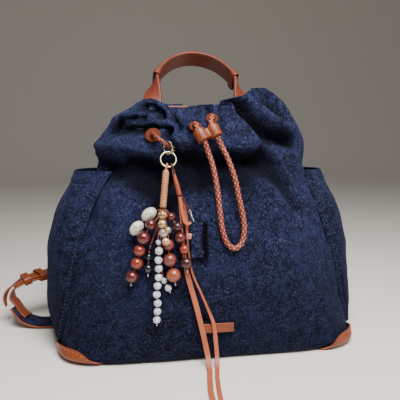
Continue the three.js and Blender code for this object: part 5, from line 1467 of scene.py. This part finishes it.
class BACKPACK_OT_straps(bpy.types.Operator):
    """Make the shoulder straps: padded upper part, sewn end, belt, tail, keepers and stud"""

    bl_idname = "backpack.straps"
    bl_label = "Shoulder straps"

    def execute(self, context):
        for side in ("left", "right"):
            pad, end, belt = strap_frames(side)
            self.add_pad(side, pad)
            self.add_end(side, end)
            self.add_belt(side, belt)
        return {"FINISHED"}

    def add_pad(self, side, frames):
        steps = len(frames.point) - 1
        share = np.linspace(0, 1, steps + 1)
        crown = 1.7 * eased((share - 0.3) / 0.15) * eased((1 - share) / 0.06)
        flat, full = (np.array(strip_outline(STRAP_WIDTH, STRAP_THICKNESS - 0.3, 1.9, high)) for high in (0, 1))
        outline = flat + (full - flat) * crown[:, None, None]
        puckers = 1 + 0.012 * np.sin(share * 90)
        grow = np.stack([puckers, np.ones(steps + 1)], axis=1)
        shape = swept(frames, outline, grow, (0.07, 0.33))
        part = f"strap_pad_{side}"
        piece = finished(shape, f"{part}_cloth", ["woolly_denim"], [part], sharp=70)
        stitches = bmesh.new()
        for aside in (-1, 1):
            stitch_row(stitches, frames, aside * (STRAP_WIDTH / 2 - PAD_SEAM), STRAP_THICKNESS / 2 - 0.05)
        sewn_piece(stitches, part, "navy_thread")

    def add_end(self, side, frames):
        outer = swept(frames, strip_outline(STRAP_WIDTH, 2.4, 0.9, 0, 1.25), map_size=(0.06, 0.08))
        inner = swept(frames, strip_outline(STRAP_WIDTH - 1, 2.3, 1.1, 0, -1.3), map_size=(0.06, 0.08))
        shape = gathered(painted(outer, 0), painted(inner, 1))
        part = f"strap_end_{side}"
        finished(shape, f"{part}_layers", ["tan_leather", "woolly_denim"], [part], sharp=60)
        stitches = bmesh.new()
        for aside in (-1, 1):
            stitch_row(stitches, frames, aside * (STRAP_WIDTH / 2 - END_SEAM), 2.5)
        sewn_piece(stitches, part)

    def add_belt(self, side, frames):
        scale = 8
        belt = swept(frames, strip_outline(BELT_WIDTH, BELT_THICKNESS, 0.9), map_size=(0.045, 0.17))
        leather_piece(belt, f"strap_belt_{side}")
        lift = (BELT_THICKNESS + TAIL_THICKNESS) / 2 + SEAT_GAP
        rows = np.arange(TAIL_ROWS[-1].frame * scale, TAIL_ROWS[0].frame * scale + 1)
        backwards = TAIL_ROWS[::-1]
        width = smooth_row(backwards, "frame", "width", rows / scale)
        stand = np.maximum(smooth_row(backwards, "frame", "stand", rows / scale), 0)
        tail_frames = some_frames(frames, rows)
        raised_line = tail_frames.point + tail_frames.face * (lift + stand * TAIL_THICKNESS)[:, None]
        tail_frames = tail_frames._replace(point=raised_line)
        grow = np.stack([np.clip(width, 0.12, 1), np.ones(len(rows))], axis=1)
        tail = swept(tail_frames, strip_outline(TAIL_WIDTH, TAIL_THICKNESS, 0.8), grow, (0.04, 0.09))
        leather_piece(tail, f"strap_tail_{side}")
        stack = BELT_THICKNESS + TAIL_THICKNESS + 2 * SEAT_GAP
        for place, index in KEEPER_FRAMES.items():
            band = keeper(frames, index, BELT_WIDTH, stack, (stack - BELT_THICKNESS) / 2)
            leather_piece(band, f"strap_keeper_{side}_{place}")
        knob = stud_shape(frames, STUD_FRAME * scale, lift + TAIL_THICKNESS / 2, 2.8, 2.8)
        metal_piece(knob, f"strap_stud_{side}", "silver")


# Eyelets and toggle
class BACKPACK_OT_toggle(bpy.types.Operator):
    """Make the leather toggle and the leather eyelets"""

    bl_idname = "backpack.toggle"
    bl_label = "Toggle and eyelets"

    def execute(self, context):
        cords = context.scene.backpack_cords
        for name, radius in EYELET_RADII.items():
            cord = cords.side_cord if name == "eyelet_side" else cords.drawcord
            centre, axis = eyelet_seat(name)
            section = rounded_box_section(cord / MM + 0.5, radius, -0.9, 0.9, 0.5)
            leather_piece(turned(section, standing(centre, axis), 40), name, "eyelet_leather")
        self.add_toggle(cords)
        return {"FINISHED"}

    def add_toggle(self, cords):
        shape = bmesh.new()
        inner = cords.drawcord / MM + TOGGLE_CLEARANCE
        middles, ways = [], []
        for top, foot in ((0, 1), (len(DRAWCORD) - 1, len(DRAWCORD) - 2)):
            start, end = Vector(DRAWCORD[top]), Vector(DRAWCORD[foot])
            half = (end - start).length / 2
            middles.append((start + end) / 2)
            ways.append((end - start).normalized())
            section = rounded_box_section(inner - 0.5, inner + TOGGLE_WALL, -half, half, 0.9)
            gathered(shape, turned(section, standing(middles[-1], end - start), 40))
        between = middles[1] - middles[0]
        way = (ways[0] + ways[1]).normalized()
        width = between.normalized()
        front = width.cross(way).normalized()
        middle = (middles[0] + middles[1]) / 2
        place = Matrix.Translation(middle) @ Matrix((width, way, front)).transposed().to_4x4()
        size = (between.length * 0.5, TOGGLE_WEB_LONG, TOGGLE_WEB_DEEP)
        gathered(shape, block(bmesh.new(), place, size, TOGGLE_WEB_ROUNDING))
        leather_piece(shape, "toggle")
        faces = [-front] * len(TOGGLE_STITCHES) + [front] * len(TOGGLE_STITCHES)
        offs = TOGGLE_STITCHES * 2
        spots = [middle + way * off + face * TOGGLE_STITCH_LIFT for off, face in zip(offs, faces)]
        sewn_piece(add_stitches(bmesh.new(), spots, [way] * len(spots), faces, 1.9), "toggle")


# Charm
def clasp_point(across, up):
    """A point in the plane of the clasp, from its centre."""
    turn = math.radians(CLASP_TURN)
    right = np.array((math.cos(turn), -math.sin(turn), 0))
    drop = CLASP_HALF_HEIGHT - CLASP_WIRE - bpy.context.scene.backpack_cords.side_cord / MM - 1.5 * SEAT_GAP
    centre = np.array(SIDE_CORD[2]) + right * CORD_ASIDE - np.array((0, 0, drop))
    return centre + right * across + np.array((0, 0, up))


def clasp_oval(degrees):
    angle = math.radians(degrees)
    return clasp_point(CLASP_HALF_WIDTH * math.cos(angle), CLASP_HALF_HEIGHT * math.sin(angle))


def ring_point(degrees):
    down = unit((0, -0.34, -0.94))
    centre = clasp_oval(270) + np.array((0, 0, CLASP_WIRE + RING_WIRE + SEAT_GAP)) + down * RING_RADIUS
    angle = math.radians(degrees)
    return centre + down * RING_RADIUS * math.cos(angle) + np.array((RING_RADIUS * math.sin(angle), 0, 0))


class BACKPACK_OT_hardware(bpy.types.Operator):
    """Make the charm's clasp, ring, wrapped stem, rolled sleeve and small clasp"""

    bl_idname = "backpack.hardware"
    bl_label = "Charm hardware"

    def execute(self, context):
        self.add_clasp()
        centre = (ring_point(0) + ring_point(180)) / 2
        ring = turned(ring_section(RING_RADIUS, RING_WIRE, 14), standing(centre, (0, -0.94, 0.34)), 64)
        metal_piece(ring, "ring", "pale_gold", sharp=180)
        self.add_stem()
        self.add_sleeve()
        small = bmesh.new()
        bar(small, SMALL_CLASP_TOP, SMALL_CLASP_FOOT, 1.1, 16, 0.7)
        ball(small, SMALL_CLASP_KNOB, SMALL_CLASP_KNOB_RADIUS)
        gathered(small, turned(ring_section(1.7, 0.5), standing((-23.4, -106.9, 146.1), (1, -0.2, 0.2)), 28))
        gathered(small, turned(ring_section(1.5, 0.4), standing((-26.8, -104.8, 154.8), (0.6, 1, 0.2)), 28))
        metal_piece(small, "small_clasp", "silver")
        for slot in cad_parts["clasp_gate"].material_slots:
            slot.material = bpy.data.materials["pale_gold"]
        return {"FINISHED"}

    def add_clasp(self):
        shape = bmesh.new()
        points = [tuple(clasp_oval(degrees)) for degrees in np.arange(52, 323, 15)]
        wire = swept(round_frames(points, 90), round_outline(CLASP_WIRE, 14))
        gathered(shape, wire)
        ball(shape, points[0], CLASP_WIRE * 1.15, 14, 8)
        hinge = clasp_point(CLASP_HALF_WIDTH + 0.5, -2.6)
        turn = math.radians(CLASP_TURN)
        normal = np.array((math.sin(turn), math.cos(turn), 0))
        foot = np.array(points[-1])
        for side in (-1, 1):
            cheek = hinge + normal * side * 0.9
            bar(shape, cheek, cheek + normal * side * 0.7, 1.3, 24)
            low, high = foot + normal * side * 1.05, hinge + normal * side * 1.25
            bar(shape, low - (0, 0, 0.3), high - (0, 0, 0.2), 0.55, 12)
        bar(shape, hinge - normal * 1.4, hinge + normal * 1.4, 0.4, 12)
        bar(shape, foot - normal * 1.3 - (0, 0, 0.3), foot + normal * 1.3 - (0, 0, 0.3), 0.6, 12)
        metal_piece(shape, "clasp", "pale_gold")

    def hanging(self, degrees, foot):
        """Where a looped bar holds on the ring, its direction down to its foot, and the loop's axis."""
        hold = ring_point(degrees)
        return hold, unit(np.array(foot) - hold), unit(ring_point(degrees + 5) - ring_point(degrees - 5))

    def line(self, start, end, shares, aside=0.0):
        return [tuple(mix(start, end, share) + aside) for share in shares]

    def rolled(self, frames, reach, angle):
        return swept(frames, np.stack([reach * np.cos(angle), reach * np.sin(angle)], axis=-1))

    def add_stem(self):
        hold, down, axis = self.hanging(STEM_TURN, STEM_FOOT)
        shape = turned(ring_section(LOOP_RADIUS, LOOP_WIRE, 12), standing(hold, axis), 32)
        top = hold + down * (LOOP_RADIUS - 0.2)
        frames = round_frames(self.line(top, np.array(STEM_FOOT), np.linspace(0, 1, 5)), 220)
        length = np.linalg.norm(np.array(STEM_FOOT) - top)
        down_share, spin = np.meshgrid(np.linspace(0, 1, 221), np.arange(28), indexing="ij")
        wound = (down_share * length / 2.7 + spin / 28) % 1
        groove = np.exp(-((np.minimum(wound, 1 - wound) / 0.1) ** 2))
        body = mix(1.5, 3.35, eased(down_share / 0.09)) * (1 - 0.14 * eased((down_share - 0.96) / 0.04))
        reach = body * (1 + 0.02 * np.sin(math.pi * wound)) - 0.42 * groove
        angle = math.tau * spin / 28
        leather_piece(gathered(shape, self.rolled(frames, reach, angle)), "charm_stem", "stem_leather")

    def add_sleeve(self):
        hold, down, axis = self.hanging(SLEEVE_TURN, SLEEVE_FOOT)
        shape = turned(ring_section(LOOP_RADIUS, LOOP_WIRE * 0.8, 10), standing(hold, axis), 28)
        foot = np.array(SLEEVE_FOOT)
        side = unit(np.cross(down, (0, 1, 0)))
        for aside in (side * -0.9, side * 0.9):
            route = [tuple(hold + down * 2.4 + aside), *self.line(hold, foot, (0.3, 0.42), aside)]
            gathered(shape, painted(swept(round_frames(route, 12), round_outline(0.85, 10)), 0))
        frames = round_frames(self.line(hold, foot, np.linspace(0.3, 1, 5)), 60)
        share, spin = np.meshgrid(np.linspace(0, 1, 61), np.arange(28), indexing="ij")
        seam = np.exp(-((np.minimum(spin, 28 - spin) / 1.3) ** 2))
        reach = 2.65 * (0.78 + 0.22 * eased(share / 0.5)) - 0.4 * seam
        angle = math.tau * spin / 28
        gathered(shape, painted(self.rolled(frames, reach, angle), 1))
        finishes = ["dark_leather", "tan_leather"]
        finished(shape, "charm_sleeve_leather", finishes, ["charm_sleeve"], sharp=60)


class BACKPACK_OT_beads(bpy.types.Operator):
    """Make the eight strings of beads"""

    bl_idname = "backpack.beads"
    bl_label = "Strings of beads"

    def execute(self, context):
        for name, rows in STRINGS.items():
            finishes = sorted({row.finish for row in rows if row.finish}) + ["lace_leather", "silver"]
            points = [row.at for row in rows]
            thread = swept(round_frames(points, 60), round_outline(0.45, 8))
            shape = painted(thread, finishes.index("lace_leather"))
            for index, row in enumerate(rows):
                if row.radius:
                    self.add_bead(shape, rows, index, finishes)
            if rows[-1].radius is None:
                for lift, radius in ((0, 1.0), (1.5, 0.7)):
                    before = len(shape.faces)
                    ball(shape, Vector(points[-1]) + Vector((0, 0, lift)), radius, 12, 8)
                    self.paint_new(shape, before, finishes.index("silver"))
            sharp = 30 if name == "black" else 60
            finished(shape, f"string_{name}", finishes, [f"beads_{name}"], sharp=sharp)
        return {"FINISHED"}

    def paint_new(self, shape, before, index):
        shape.faces.ensure_lookup_table()
        for face in shape.faces[before:]:
            face.material_index = index

    def add_bead(self, shape, rows, index, finishes):
        """A bead round the thread: a little flattened at its bored ends."""
        row = rows[index]
        last, following = rows[max(0, index - 1)], rows[min(len(rows) - 1, index + 1)]
        axis = Vector(following.at) - Vector(last.at)
        length = row.long or row.radius * 0.97
        before = len(shape.faces)
        matrix = standing(row.at, axis, (row.radius, row.radius, length))
        if row.finish == "bead_black":
            bmesh.ops.create_icosphere(shape, subdivisions=2, radius=1, matrix=matrix)
        else:
            bmesh.ops.create_uvsphere(shape, u_segments=28, v_segments=18, radius=1, matrix=matrix)
        self.paint_new(shape, before, finishes.index(row.finish))


class BACKPACK_OT_square(bpy.types.Operator):
    """Make the small cloth square with its fringe, and the leather tag"""

    bl_idname = "backpack.square"
    bl_label = "Cloth square and tag"

    def execute(self, context):
        def face_y(z):
            return mix(-104, -111.4, (SQUARE_TOP - z) / (SQUARE_TOP - SQUARE_FOOT))

        def place(u, v):
            z = mix(SQUARE_FOOT, SQUARE_TOP, v)
            wave = 0.35 * np.sin(5 * u + 7 * v)
            return np.stack([mix(SQUARE_LEFT, SQUARE_RIGHT, u), face_y(z) - 1.9 + wave, z], axis=-1)

        panel = bent_grid(24, 48, place, (0.0125, 0.034))
        bmesh.ops.recalc_face_normals(panel, faces=panel.faces)
        cloth = thickened(panel, 1.3, 0.3)
        part = "cloth_square"
        square = finished(cloth, "cloth_square_denim", ["woolly_denim"], [part], sharp=60)
        fringe = bmesh.new()
        chance = random.Random(5)
        for step in range(FRINGE_THREADS):
            z = mix(SQUARE_FOOT - 1, SQUARE_TOP - 0.5, step / (FRINGE_THREADS - 1))
            reach = SQUARE_RIGHT + FRINGE_REACH - chance.uniform(0, 1.4)
            start_y = face_y(z) - 1.0 - chance.uniform(0, 1)
            droop = chance.uniform(0.2, 1.6)
            points = [
                (SQUARE_RIGHT - 1.5, start_y, z),
                (mix(SQUARE_RIGHT, reach, 0.5), start_y - chance.uniform(-0.6, 0.8), z - droop * 0.3),
                (reach, start_y - chance.uniform(-0.8, 0.8), z - droop),
            ]
            gathered(fringe, swept(round_frames(points, 6), round_outline(FRINGE_RADIUS, 6)))
        strands = finished(fringe, "cloth_square_fringe", ["fringe"], sharp=180)
        turn = Matrix.Rotation(0.15, 4, "Y") @ Matrix.Rotation(0.2, 4, "X")
        size = (TAG_SIZE, TAG_THICKNESS, TAG_SIZE + 1)
        tag = block(bmesh.new(), Matrix.Translation(TAG_CENTRE) @ turn, size, TAG_ROUNDING)
        finished(tag, "leather_tag_plain", ["tag_leather"], ["leather_tag"], sharp=60)
        return {"FINISHED"}


STEPS = (
    BACKPACK_OT_finishes, BACKPACK_OT_stage, BACKPACK_OT_cords, BACKPACK_OT_laces, BACKPACK_OT_bag,
    BACKPACK_OT_pockets, BACKPACK_OT_trim, BACKPACK_OT_handle, BACKPACK_OT_straps, BACKPACK_OT_toggle,
    BACKPACK_OT_hardware, BACKPACK_OT_beads, BACKPACK_OT_square,
)
GROUPS = {
    "cloth": ClothSettings, "leather": LeatherSettings, "cords": CordSettings,
    "charm": CharmSettings, "stage": StageSettings,
}


class BACKPACK_PT_panel(bpy.types.Panel):
    """The backpack's sizes, colours and steps"""

    bl_idname = "BACKPACK_PT_panel"
    bl_label = "Travel backpack"
    bl_space_type = "VIEW_3D"
    bl_region_type = "UI"
    bl_category = "Backpack"

    def draw(self, context):
        for name, group in GROUPS.items():
            box = self.layout.box()
            box.label(text=name.capitalize())
            for key in group.__annotations__:
                box.prop(getattr(context.scene, f"backpack_{name}"), key)
        for step in STEPS:
            self.layout.operator(step.bl_idname)


CLASSES = (*GROUPS.values(), *STEPS, BACKPACK_PT_panel)


def register():
    for kind in CLASSES:
        bpy.utils.register_class(kind)
    for name, group in GROUPS.items():
        setattr(bpy.types.Scene, f"backpack_{name}", PointerProperty(type=group))


def unregister():
    for name in GROUPS:
        delattr(bpy.types.Scene, f"backpack_{name}")
    for kind in reversed(CLASSES):
        bpy.utils.unregister_class(kind)


def main():
    register()
    for step in STEPS:
        group, name = step.bl_idname.split(".")
        getattr(getattr(bpy.ops, group), name)()
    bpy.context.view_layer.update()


if __name__ == "__main__":
    main()
